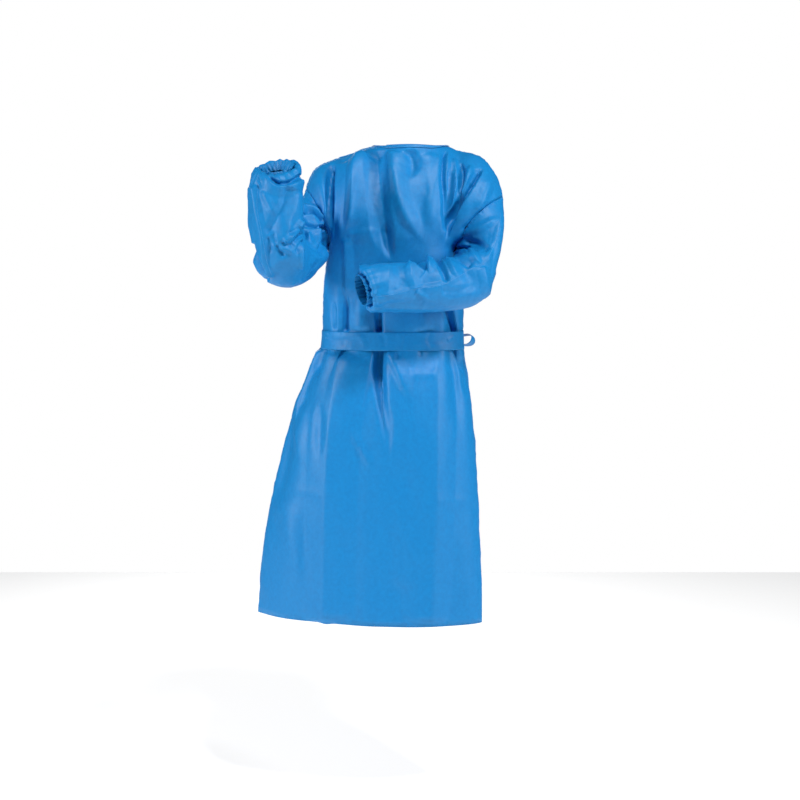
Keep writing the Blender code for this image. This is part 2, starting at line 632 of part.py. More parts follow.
def add_knot(name, bow, cloth):
    centre, along, up, out = bow_frame(bow)
    mesh = bpy.data.meshes.new(name)
    form = bmesh.new()
    bmesh.ops.create_uvsphere(form, u_segments=14, v_segments=8, radius=1.0)
    for vert in form.verts:
        x, y, z = vert.co
        vert.co = Vector(centre + along * x * bow.knot[0] + up * y * bow.knot[1] + out * z * bow.knot[2])
    form.normal_update()
    bmesh.ops.recalc_face_normals(form, faces=form.faces)
    form.to_mesh(mesh)
    form.free()
    mesh.materials.append(cloth)
    mesh.shade_smooth()
    knot = bpy.data.objects.new(name, mesh)
    bpy.context.scene.collection.objects.link(knot)
    return knot


def add_loop(name, bow, side, cloth):
    """One loop of the bow, a strip that leaves the knot and comes back to it."""
    centre, along, up, out = bow_frame(bow)
    way = unit(along * side - up * 0.12 + out * 0.26)
    s = np.linspace(0, 1, LOOP_STEPS + 1)[:, None]
    swell = np.sin(np.pi * s)
    half_sizes = np.array(bow.knot)
    in_knot = np.array([way @ along, way @ up, way @ out]) / half_sizes
    start = 1 / np.linalg.norm(in_knot) + LOOP_CLEAR
    apart = WALL * 0.75
    rise = bow.hole * np.sin(2 * np.pi * s) * np.sqrt(swell + 1e-9) + apart * np.cos(np.pi * s)
    middle = centre + way * (start + bow.loop * swell) + up * rise
    half = bow.width / 2 * (BOW_ROOT + (1 - BOW_ROOT) * swell)
    across = unit(out - up * 0.35 * side)
    return add_wall(name, np.stack([middle - across * half, middle + across * half], 1), cloth)


def add_tail(name, bow, side, cloth):
    """One loose end of the bow, which hangs down the back below the knot."""
    s = np.linspace(0, 1, TAIL_STEPS + 1)
    top = bow.v - bow.knot[1] * 0.93 - BOW_CLEAR
    v = top - (bow.tail + 0.05 * bow.tail * side - bow.knot[1]) * s
    half_turn = bow.width / 2 * (BOW_ROOT + (1 - BOW_ROOT) * ease(s * 4))
    reach = np.linalg.norm(body("back", bow.u + 0.01, v) - body("back", bow.u - 0.01, v), axis=-1) / 0.02
    root = bow.width / 2 * BOW_ROOT + WALL
    middle = (root + bow.width * 0.45 * ease(s * 3) + bow.sway * s * s) * side
    lift = bow.knot[2] * 0.6 + 0.004 * ease(s * 3) + 0.0015 * (1 + np.sin(s * 7 + side))
    strip = []
    for edge in (-1, 1):
        u = bow.u + (middle + edge * half_turn) / reach
        strip.append(body("back", u, v, lift + lap_lift(u) + 0.0015 * edge * side))
    return add_wall(name, np.stack(strip, 1), cloth)


def add_bow(name, bow, cloth):
    add_knot(f"{name}_knot", bow, cloth)
    for side, label in ((1, "left"), (-1, "right")):
        add_loop(f"{name}_loop_{label}", bow, side, cloth)
        add_tail(f"{name}_tail_{label}", bow, side, cloth)


def main():
    clear_scene()
    cloth = smooth_material("blue_nonwoven", (0.010, 0.190, 0.610), 0.62)
    add_front(cloth)
    add_backs(cloth)
    add_sleeve("left", 1, left_sleeve, LEFT_SLEEVE, LEFT_ARMHOLE_GAP, cloth)
    add_sleeve("right", -1, right_sleeve, RIGHT_SLEEVE, RIGHT_ARMHOLE_GAP, cloth)
    add_cuff("cuff_left", left_sleeve, LEFT_SLEEVE, LEFT_CUFF_REACH, cloth)
    add_cuff("cuff_right", right_sleeve, RIGHT_SLEEVE, RIGHT_CUFF_REACH, cloth)
    add_belt(cloth)
    add_binding(cloth)
    add_bow("belt", BELT_BOW, cloth)
    add_bow("neck_tie", NECK_BOW, cloth)


main()
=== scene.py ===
# %% [markdown]
# # A blue disposable isolation gown, worn
#
# The real gown is cut from one roll of thin polypropylene non-woven: a front, two back halves that
# lap over each other, two sleeves with elastic cuffs, a narrow neck binding, and a flat belt and a
# narrow neck tie that each end in a bow. Paper-thin and slightly stiff, it keeps every crease that
# the packing pressed into it.
#
# The imported solids already have the garment's form and its largest folds. This lesson peels the
# outer face off each solid, makes it a thin sheet, and then works the creases into it.

# %% Load the frame
import math
from collections import Counter

import bmesh
import bpy
import numpy as np
from mathutils import Matrix, Vector, noise
from mathutils.bvhtree import BVHTree
from mathutils.kdtree import KDTree


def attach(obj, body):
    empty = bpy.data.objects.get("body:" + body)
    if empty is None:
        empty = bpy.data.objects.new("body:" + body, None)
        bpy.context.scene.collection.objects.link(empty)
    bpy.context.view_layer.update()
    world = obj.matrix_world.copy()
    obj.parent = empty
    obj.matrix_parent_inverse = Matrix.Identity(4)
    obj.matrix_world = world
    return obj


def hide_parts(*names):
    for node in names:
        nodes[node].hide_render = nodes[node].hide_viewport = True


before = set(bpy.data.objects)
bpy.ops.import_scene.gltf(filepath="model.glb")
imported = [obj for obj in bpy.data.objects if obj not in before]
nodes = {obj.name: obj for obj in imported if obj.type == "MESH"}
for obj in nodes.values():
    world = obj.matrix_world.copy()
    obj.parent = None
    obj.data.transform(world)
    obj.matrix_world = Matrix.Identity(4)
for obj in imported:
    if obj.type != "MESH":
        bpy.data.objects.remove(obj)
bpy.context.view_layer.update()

# %% [markdown]
# ## The camera, the light and the floor
#
# The photograph was taken from straight in front, at chest height, with a long lens. The camera
# comes first, because many creases below are placed where the photograph shows them. The backdrop
# is seen as pure white, but it gives off little light, so that the soft boxes shape the folds.

# %% The camera
scene = bpy.context.scene
PICTURE = 800
FOCAL_PIXELS = 1800.0
SEEN_POINT = Vector((0.0, 0.0, -0.63))
TILT = math.radians(5.0)
CAMERA_AWAY = 4.5
EYE = SEEN_POINT + CAMERA_AWAY * Vector((0.0, -math.cos(TILT), math.sin(TILT)))
LOOK = (SEEN_POINT - EYE).normalized()
RIGHT = Vector((1.0, 0.0, 0.0))
UP = RIGHT.cross(LOOK)

camera_data = bpy.data.cameras.new("camera")
camera_data.sensor_width = 36.0
camera_data.lens = FOCAL_PIXELS * camera_data.sensor_width / PICTURE
camera = bpy.data.objects.new("camera", camera_data)
camera.location = EYE
camera.rotation_euler = LOOK.to_track_quat("-Z", "Y").to_euler()
scene.collection.objects.link(camera)
scene.camera = camera
print("lens", camera_data.lens, "mm at", [round(c, 3) for c in EYE])


# %% Where a point of the gown is seen in the picture
def seen_at(points):
    """Picture columns and rows, counted from the top left, of an array of points."""
    away = points - np.array(EYE)
    depth = away @ np.array(LOOK)
    column = PICTURE / 2 + FOCAL_PIXELS * (away @ np.array(RIGHT)) / depth
    row = PICTURE / 2 - FOCAL_PIXELS * (away @ np.array(UP)) / depth
    return np.stack([column, row], axis=1)


def toward(column, row):
    """The direction from the camera through one place in the picture."""
    across = (column - PICTURE / 2) / FOCAL_PIXELS
    upward = (PICTURE / 2 - row) / FOCAL_PIXELS
    return (LOOK + across * RIGHT + upward * UP).normalized()


print("the shoulders' mount is seen at", seen_at(np.array([[0.0, 0.0, 0.0]])).round(1))


# %% Helpers for colours, nodes, materials and objects
def linear(code):
    """An sRGB hex colour as the linear colour that Blender's sockets hold."""
    parts = [int(code[i : i + 2], 16) / 255 for i in (0, 2, 4)]
    return tuple(c / 12.92 if c <= 0.04045 else ((c + 0.055) / 1.055) ** 2.4 for c in parts) + (1.0,)


def add_node(material, kind, settings=None, links=None):
    """Adds a shader node: settings are its properties or sockets by name, links its inputs."""
    node = material.node_tree.nodes.new(kind)
    for name, value in (settings or {}).items():
        if isinstance(name, str) and hasattr(node, name):
            setattr(node, name, value)
        else:
            node.inputs[name].default_value = value
    for name, output in (links or {}).items():
        material.node_tree.links.new(output, node.inputs[name])
    return node


def new_material(name, settings):
    """A material and its Principled BSDF, with these sockets set."""
    material = bpy.data.materials.new(name)
    material.use_nodes = True
    shader = material.node_tree.nodes["Principled BSDF"]
    for socket, value in settings.items():
        shader.inputs[socket].default_value = value
    return material, shader


def new_object(name, form):
    """A mesh object made from a bmesh, which is freed."""
    mesh = bpy.data.meshes.new(name)
    form.to_mesh(mesh)
    form.free()
    made = bpy.data.objects.new(name, mesh)
    scene.collection.objects.link(made)
    return made


print("mid blue in linear light", [round(c, 3) for c in linear("2490DA")])

# %% The floor: matt paper, lit from below as well so that it stays white
FLOOR_REACH = 3.0
FLOOR_HEIGHT = -1.62
floor_form = bmesh.new()
bmesh.ops.create_grid(floor_form, x_segments=1, y_segments=1, size=FLOOR_REACH)
bmesh.ops.translate(floor_form, verts=floor_form.verts, vec=(0.0, 0.0, FLOOR_HEIGHT))
floor = new_object("floor", floor_form)
WHITE = (1.0, 1.0, 1.0, 1.0)
paper, _ = new_material(
    "backdrop_paper",
    {
        "Base Color": linear("F2F2F2"),
        "Roughness": 0.9,
        "Emission Color": WHITE,
        "Emission Strength": 0.45,
    },
)
floor.data.materials.append(paper)
print("floor", 2 * FLOOR_REACH, "m wide at", FLOOR_HEIGHT)

# %% The backdrop: the camera sees white, and the cloth gets a faint cool light
world = bpy.data.worlds.new("studio")
scene.world = world
world.use_nodes = True
world_nodes = world.node_tree.nodes
world_nodes["Background"].inputs["Color"].default_value = (0.93, 0.96, 1.0, 1.0)
world_nodes["Background"].inputs["Strength"].default_value = 0.07
seen_white = world_nodes.new("ShaderNodeBackground")
seen_white.inputs["Color"].default_value = WHITE
seen_white.inputs["Strength"].default_value = 1.0
which_ray = world_nodes.new("ShaderNodeLightPath")
by_ray = world_nodes.new("ShaderNodeMixShader")
for start, end in (
    (which_ray.outputs["Is Camera Ray"], by_ray.inputs[0]),
    (world_nodes["Background"].outputs[0], by_ray.inputs[1]),
    (seen_white.outputs[0], by_ray.inputs[2]),
    (by_ray.outputs[0], world_nodes["World Output"].inputs["Surface"]),
):
    world.node_tree.links.new(start, end)
scene.view_settings.view_transform = "Standard"
print("world nodes", len(world_nodes))

# %% Soft boxes: size, power in watts, place, aim
SOFT_BOXES = {
    "key": (0.6, 0.5, 118.0, (1.1, -2.4, 2.9), (0.0, 0.0, -0.5)),
    "left": (0.4, 1.4, 68.0, (-3.0, -1.3, 0.2), (0.0, 0.0, -0.7)),
    "right": (0.4, 1.4, 60.0, (3.0, -1.5, 0.6), (0.0, 0.0, -0.6)),
    "behind": (1.6, 1.6, 34.0, (-0.4, 3.2, 0.4), (0.0, 0.0, -0.6)),
}
for name, (width, height, power, place, aim) in SOFT_BOXES.items():
    light_data = bpy.data.lights.new(name, "AREA")
    light_data.shape = "RECTANGLE"
    light_data.size = width
    light_data.size_y = height
    light_data.energy = power
    light = bpy.data.objects.new(name, light_data)
    light.location = place
    light.rotation_euler = (Vector(aim) - Vector(place)).to_track_quat("-Z", "Y").to_euler()
    scene.collection.objects.link(light)
print("soft boxes", len(SOFT_BOXES))

# %% [markdown]
# ## The cloth
#
# The real cloth is spunbond-meltblown-spunbond polypropylene, 40 g a square metre: endless fibres
# laid at random and welded by a fine grid of hot points. The random fibres give it a faint cloudy
# mottle a few millimetres across, and the welded points a fine grain that breaks up the sheen. A
# photograph of cloth could be wrapped round it. Noise in the object's own coordinates needs no
# picture and no seams, and it stays sharp from near by.

# %% Spunbond polypropylene, dyed blue in the melt
MOTTLE_MM = 4.5
FIBRE_MM = 4.0  # bundles of fibres, because single ones are 0.02 mm thick
WELD_MM = 3.0  # the real points are 1.2 mm apart, too fine to show at this distance


def spunbond(name, light_code, dark_code, roughness):
    """Dyed non-woven: cloudy colour, welded points and fibres as bump, a soft satin sheen."""
    cloth, shader = new_material(
        name,
        {
            "Roughness": roughness,
            "IOR": 1.49,
            "Specular IOR Level": 0.4,
            "Sheen Weight": 0.01,
            "Sheen Roughness": 0.5,
        },
    )
    place = add_node(cloth, "ShaderNodeTexCoord").outputs["Object"]
    cloud = add_node(
        cloth,
        "ShaderNodeTexNoise",
        {"Scale": 1000.0 / (MOTTLE_MM * 2), "Detail": 4.0, "Roughness": 0.6},
        {"Vector": place},
    )
    spread = add_node(
        cloth, "ShaderNodeMapRange", {"From Min": 0.32, "From Max": 0.68}, {"Value": cloud.outputs["Fac"]}
    )
    shade = add_node(
        cloth,
        "ShaderNodeMix",
        {"data_type": "RGBA", 6: linear(dark_code), 7: linear(light_code)},
        {0: spread.outputs["Result"]},
    )
    cloth.node_tree.links.new(shade.outputs[2], shader.inputs["Base Color"])
    fibres = add_node(
        cloth,
        "ShaderNodeTexNoise",
        {"Scale": 1000.0 / (FIBRE_MM * 2), "Detail": 3.0, "Roughness": 0.7, "Distortion": 0.6},
        {"Vector": place},
    )
    welds = add_node(
        cloth,
        "ShaderNodeTexVoronoi",
        {"Scale": 1000.0 / WELD_MM, "Randomness": 0.35},
        {"Vector": place},
    )
    weld_bump = add_node(
        cloth,
        "ShaderNodeBump",
        {"Strength": 0.18, "Distance": 0.0006},
        {"Height": welds.outputs["Distance"]},
    )
    fibre_bump = add_node(
        cloth,
        "ShaderNodeBump",
        {"Strength": 0.3, "Distance": 0.0012},
        {"Height": fibres.outputs["Fac"], "Normal": weld_bump.outputs["Normal"]},
    )
    cloth.node_tree.links.new(fibre_bump.outputs["Normal"], shader.inputs["Normal"])
    return cloth


gown_cloth = spunbond("spunbond_polypropylene_blue", "0083C8", "007ABF", 0.5)
print(gown_cloth.name, len(gown_cloth.node_tree.nodes), "nodes")

# %% [markdown]
# ## Peeling the outer face off a solid
#
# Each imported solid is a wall 1.2 mm thick, closed all round. The cloth is a third of that, so a
# copy of the solid loses its rim, which parts its outer face from its inner one. The outer face is
# kept as the sheet, its triangles joined to quads, and later it gets its own thickness inwards.
# A sheet could be modelled anew, but a peeled one can't stray from its solid.

# %% The separate parts of a mesh, and the one that looks outwards
def islands(form):
    """The parts of a mesh that don't touch each other, as lists of faces."""
    form.faces.index_update()
    waiting = set(form.faces)
    found = []
    while waiting:
        edge_of_search = [waiting.pop()]
        group = []
        while edge_of_search:
            face = edge_of_search.pop()
            group.append(face)
            for edge in face.edges:
                for other in edge.link_faces:
                    if other in waiting:
                        waiting.remove(other)
                        edge_of_search.append(other)
        found.append(group)
    return sorted(found, key=len, reverse=True)


def outward(group):
    """How far a group of faces looks away from its own middle: positive for an outer face."""
    area = sum(face.calc_area() for face in group)
    middle = sum((face.calc_center_median() * face.calc_area() for face in group), Vector()) / area
    return sum(
        face.calc_area() * face.normal.dot(face.calc_center_median() - middle) for face in group
    )


# %% Peel one node
RIM_EDGE = 0.0018
SPECK = 8
SAME_SPOT = 1e-5


def whole(name):
    """The whole surface of one node, with its loose triangles merged, in a new bmesh."""
    form = bmesh.new()
    form.from_mesh(nodes[name].data)
    bmesh.ops.remove_doubles(form, verts=form.verts, dist=SAME_SPOT)
    form.normal_update()
    return form


def peel(name):
    """The outer face of one node, as a sheet of quads in a new bmesh."""
    form = whole(name)
    rim = [f for f in form.faces if min(e.calc_length() for e in f.edges) < RIM_EDGE]
    bmesh.ops.delete(form, geom=rim, context="FACES")
    form.normal_update()
    sides = [group for group in islands(form) if len(group) > SPECK]
    keep = set(max(sides[:2], key=outward))
    bmesh.ops.delete(form, geom=[f for f in form.faces if f not in keep], context="FACES")
    bmesh.ops.join_triangles(
        form,
        faces=form.faces,
        angle_face_threshold=math.pi,
        angle_shape_threshold=math.pi,
    )
    form.normal_update()
    print("peeled", name, len(form.faces), "faces of", len(sides), "sides")
    return form


# %% Peel all nodes: a closed knot keeps its whole surface
KNOTS = ["belt_knot", "neck_tie_knot"]
TRUNK = ["front", "back_left", "back_right"]
SLEEVES = ["sleeve_left", "sleeve_right"]
PANELS = TRUNK + SLEEVES
LOWER_HALVES = {"sleeve_left": "forearm_left", "sleeve_right": "forearm_right"}
SMALL = [name for name in nodes if name not in PANELS and name not in LOWER_HALVES.values()]
sheets = {name: whole(name) if name in KNOTS else peel(name) for name in PANELS + SMALL}

# %% A sleeve is one piece of cloth, though the solids part it at the elbow
ELBOW_GAP = 0.004
for upper, lower in LOWER_HALVES.items():
    half = bpy.data.meshes.new(lower)
    lower_form = peel(lower)
    lower_form.to_mesh(half)
    lower_form.free()
    sheets[upper].from_mesh(half)
    bpy.data.meshes.remove(half)
    before = len(sheets[upper].verts)
    rim = [vertex for vertex in sheets[upper].verts if vertex.is_boundary]
    bmesh.ops.remove_doubles(sheets[upper], verts=rim, dist=ELBOW_GAP)
    sheets[upper].normal_update()
    print(upper, "joined at", before - len(sheets[upper].verts), "elbow vertices")


# %% A finished piece
def finish_piece(name, form, material, replaced=()):
    """Makes a bmesh a piece of the scene: smooth, of one material, riding on the root body."""
    piece = new_object(name, form)
    piece.data.materials.append(material)
    for polygon in piece.data.polygons:
        polygon.use_smooth = True
    if replaced:
        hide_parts(*replaced)
    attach(piece, "root")
    return piece


# %% [markdown]
# ## Sewing the sheets together
#
# On the real gown an overlocked seam joins two edges, so nothing shows between them but a fine
# line. The sheets could be joined to one mesh, but each has to stay a piece of its own. So the edge
# vertices of neighbouring sheets are gathered in groups, and each group moves to its common middle.
# The same is done again after the creases, so that no seam ever opens.

# %% Find and close the seams
def seam_groups(forms, reach):
    """Groups of edge vertices of different sheets that lie within reach of each other."""
    rims = [(n, v) for n, form in forms.items() for v in form.verts if v.is_boundary]
    tree = KDTree(len(rims))
    for index, (_, vertex) in enumerate(rims):
        tree.insert(vertex.co, index)
    tree.balance()
    leader = list(range(len(rims)))

    def lead(index):
        while leader[index] != index:
            index = leader[index]
        return index

    for index, (name, vertex) in enumerate(rims):
        nearest = {}
        for _, other, distance in tree.find_range(vertex.co, reach):
            if rims[other][0] != name and distance < nearest.get(rims[other][0], (reach, 0))[0]:
                nearest[rims[other][0]] = (distance, other)
        for _, other in nearest.values():
            leader[lead(other)] = lead(index)
    groups = {}
    for index, (name, vertex) in enumerate(rims):
        groups.setdefault(lead(index), []).append((name, vertex.index))
    return [group for group in groups.values() if len({name for name, _ in group}) > 1]


def close_seams(forms, groups):
    """Moves each group of edge vertices to its common middle."""
    for group in groups:
        spots = [forms[name].verts[index] for name, index in group]
        middle = sum((vertex.co for vertex in spots), Vector()) / len(spots)
        for vertex in spots:
            vertex.co = middle


def number(form):
    """Numbers a form's vertices, so that they can be found by index."""
    form.verts.index_update()
    form.verts.ensure_lookup_table()


COARSE_REACH = 0.005
panels = {name: sheets[name] for name in PANELS}
for form in panels.values():
    number(form)
coarse_groups = seam_groups(panels, COARSE_REACH)
close_seams(panels, coarse_groups)
print("sewn", len(coarse_groups), "groups of edge vertices")


# %% [markdown]
# ## Finer sheets
#
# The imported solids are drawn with 15 to 25 mm steps, enough for the form. Creases need 2 to 5 mm,
# so each sheet is rounded by Catmull-Clark subdivision, which keeps its corners and its edge line.

# %% Round and refine
def refine(name, form, levels):
    """The same sheet with each face parted 4 ** levels times and rounded."""
    holder = new_object(name, form)
    mesh = holder.data
    rounding = holder.modifiers.new("rounding", "SUBSURF")
    rounding.levels = levels
    rounding.render_levels = levels
    rounding.boundary_smooth = "PRESERVE_CORNERS"
    rounded = bpy.data.meshes.new_from_object(
        holder.evaluated_get(bpy.context.evaluated_depsgraph_get())
    )
    fine = bmesh.new()
    fine.from_mesh(rounded)
    bpy.data.objects.remove(holder)
    bpy.data.meshes.remove(mesh)
    bpy.data.meshes.remove(rounded)
    number(fine)
    return fine


LEVELS = {"sleeve_left": 3, "sleeve_right": 3, "cuff_left": 3, "cuff_right": 3, "belt": 3}
sheets = {name: refine(name, form, LEVELS.get(name, 2)) for name, form in sheets.items()}
panels = {name: sheets[name] for name in PANELS}
print({name: len(form.faces) for name, form in panels.items()})

# %% [markdown]
# ## Creases placed by hand
#
# A crease in paper-like cloth is a long narrow tent or trough: a sharp line with a flat slope on
# each side, the two slopes rarely alike, fading out at its ends. Each row below is one crease,
# drawn where the photograph shows it: its line in picture columns and rows, its height in mm
# (below zero for a trough), and how far its slopes reach in pixels of 2.5 mm. The first reach is
# on the picture's right of a line that runs down, or above one that runs to the right. Then come
# the shares of its length over which it rises and fades, and how rounded it is, if it isn't sharp.
#
# A cloth simulation would make folds of its own. Placed one by one, they are the photograph's.


# %% Lines and tents
def ease(x):
    """0 to 1, smoothly."""
    x = np.clip(x, 0.0, 1.0)
    return x * x * (3.0 - 2.0 * x)


def smooth_line(keys, step=1.5):
    """Points on a smooth curve through the keys, about step apart."""
    keys = np.array(keys, float)
    if len(keys) == 2:
        count = max(2, int(np.linalg.norm(keys[1] - keys[0]) / step))
        return keys[0] + np.linspace(0, 1, count)[:, None] * (keys[1] - keys[0])
    padded = np.vstack([2 * keys[0] - keys[1], keys, 2 * keys[-1] - keys[-2]])
    line = []
    for a, b, c, d in zip(padded, padded[1:], padded[2:], padded[3:]):
        count = max(2, int(np.linalg.norm(c - b) / step))
        for t in np.arange(count)[:, None] / count:
            line.append(
                0.5 * (2 * b + (c - a) * t + (2 * a - 5 * b + 4 * c - d) * t**2)
                + 0.5 * (3 * b - a - 3 * c + d) * t**3
            )
    return np.vstack(line + [keys[-1:]])


def tent(spots, keys, height, first, second, start, end, soft=0.0):
    """Height in metres at each 2-D spot of one crease along the keys."""
    line = smooth_line(keys)
    reach = max(first, second)
    heights = np.zeros(len(spots))
    near = np.all((spots > line.min(0) - reach) & (spots < line.max(0) + reach), axis=1)
    if not near.any():
        return heights
    spots = spots[near]
    best = np.full(len(spots), 1e9)
    side = np.zeros(len(spots))
    along = np.zeros(len(spots))
    lengths = np.linalg.norm(np.diff(line, axis=0), axis=1)
    passed = np.concatenate([[0.0], np.cumsum(lengths)])
    for index, (a, b) in enumerate(zip(line, line[1:])):
        way = b - a
        from_a = spots - a
        part = np.clip(from_a @ way / max(way @ way, 1e-9), 0.0, 1.0)
        distance = np.linalg.norm(from_a - part[:, None] * way, axis=1)
        closer = distance < best
        best[closer] = distance[closer]
        side[closer] = way[1] * from_a[closer, 0] - way[0] * from_a[closer, 1]
        along[closer] = (passed[index] + part[closer] * lengths[index]) / passed[-1]
    fade = ease(along / max(start, 1e-3)) * ease((1.0 - along) / max(end, 1e-3))
    width = np.where(side > 0, first, second) * (0.45 + 0.55 * fade)
    slope = np.clip(1.0 - best / width, 0.0, 1.0)
    shape = slope * (1.0 - soft) + ease(slope) * soft
    heights[near] = height * 0.001 * fade * shape
    return heights


# %% The front, as the photograph shows it
FRONT_CREASES = [
    # neck and chest, from the gown's right to its left
    ([(363, 151), (350, 156), (335, 164)], -4, 4, 6, 0.1, 0.3, 0.12),
    (
        [(334, 162), (331.5, 178), (331, 193),
         (330.5, 215), (329, 236), (325, 252)],
        -9, 3.5, 6, 0.1, 0.2,
    ),
    ([(362, 150), (353, 167), (351, 191), (348.5, 219), (343.5, 234)], 7, 17, 6, 0.02, 0.25),
    ([(343, 234.5), (352, 233.5), (369, 231), (384, 231)], 2.2, 6, 12, 0.15, 0.6, 0.12),
    ([(345, 236), (346, 250), (347, 275), (347, 300)], 4, 8, 5, 0.1, 0.2, 0.12),
    ([(377, 149), (379, 175), (381, 200), (384, 225), (391, 262)], -8, 10, 15, 0.02, 0.3, 0.12),
    ([(391, 149), (396, 185), (405, 215), (424, 243)], 6, 14, 9, 0.05, 0.3, 0.6),
    ([(409, 149), (413, 163), (410, 182)], -5, 9, 8, 0.02, 0.5, 0.7),
    ([(382, 221), (386, 240), (391, 262)], -4, 8, 6, 0.3, 0.3, 0.6),
    ([(430, 150), (429, 190), (432, 235)], 4, 13, 13, 0.1, 0.3, 0.8),
    ([(446, 147), (444.5, 178), (446.5, 204), (444.5, 240)], -7, 2.5, 6, 0.02, 0.35),
    ([(449, 168), (449, 200), (447, 230), (445, 244)], -4, 5, 2, 0.1, 0.3),
    ([(453, 156), (456, 180), (453, 205), (449, 228)], 4, 4, 4, 0.1, 0.4, 0.12),
    # above the belt
    ([(346.5, 290), (346.6, 311), (346.6, 332)], -7, 3, 4, 0.5, 0.05),
    ([(380, 285), (379, 312), (379.5, 334)], -10, 4, 5, 0.5, 0.05, 0.1),
    ([(444, 285), (449, 311), (455, 334)], -11, 5, 4, 0.5, 0.05),
    ([(362, 290), (360, 331)], 3, 12, 10, 0.3, 0.1, 0.5),
    ([(420, 300), (425, 332)], 3, 16, 14, 0.3, 0.1, 0.5),
    ([(334, 300), (335, 330)], -3, 3, 4, 0.3, 0.1, 0.12),
    # below the belt
    ([(380, 344), (377.5, 366), (380, 395), (386, 450)], -11, 9, 6, 0.02, 0.65, 0.1),
    ([(386, 395), (388, 430), (388, 465)], -3, 7, 7, 0.4, 0.5, 0.8),
    ([(388, 350), (398, 372), (411, 405)], 6, 12, 6, 0.05, 0.45, 0.3),
    ([(350, 428), (362, 450), (373, 471)], 2.5, 6, 5, 0.3, 0.3, 0.12),
    ([(372, 352), (366, 385), (358, 425)], 3, 6, 12, 0.1, 0.6, 0.5),
    ([(453, 346), (458, 357), (465, 374)], -8, 5, 3, 0.02, 0.3),
    ([(463, 352), (466, 380), (467, 402)], -4, 5, 7, 0.2, 0.4, 0.5),
    (
        [(346, 348), (342.5, 363), (335, 400), (330, 440),
         (327, 504), (326, 560), (325, 622)],
        9, 30, 22, 0.05, 0.01,
    ),
    ([(436, 352), (436, 434), (435, 502), (433, 561), (430, 624)], 7.5, 20, 30, 0.1, 0.01),
    ([(345, 346), (341, 364)], -5, 3, 3, 0.02, 0.5),
    ([(400, 374), (418, 374.5), (436, 374)], 1.6, 4, 5, 0.2, 0.1),
    ([(434, 501), (456, 501.5), (480, 501)], 1.2, 6, 4, 0.05, 0.05),
    ([(342, 369), (366, 369)], 1.2, 4, 4, 0.2, 0.3),
    ([(272, 484), (300, 490), (327, 497)], 1.0, 7, 6, 0.05, 0.1),
    ([(301, 385), (298, 430), (300, 470)], 5, 9, 7, 0.3, 0.5, 0.1),
    ([(322, 400), (321, 430), (320, 465)], -4, 9, 9, 0.3, 0.5, 0.7),
    ([(323, 348), (315, 364), (307, 386), (297, 410)], 5, 6, 4, 0.05, 0.3),
    ([(327, 349), (321, 364), (316, 380)], -5, 4, 5, 0.02, 0.5),
    ([(276, 485), (290, 530), (300, 575), (308, 618)], 3, 14, 14, 0.2, 0.1, 0.7),
    ([(395, 348), (398, 356), (399, 364)], -3, 3, 3, 0.02, 0.6, 0.12),
    ([(420, 348), (422, 358)], -2, 3, 3, 0.02, 0.6, 0.12),
    ([(400, 480), (405, 540), (403, 600)], 2, 20, 16, 0.4, 0.2, 0.9),
]
print("front creases", len(FRONT_CREASES))

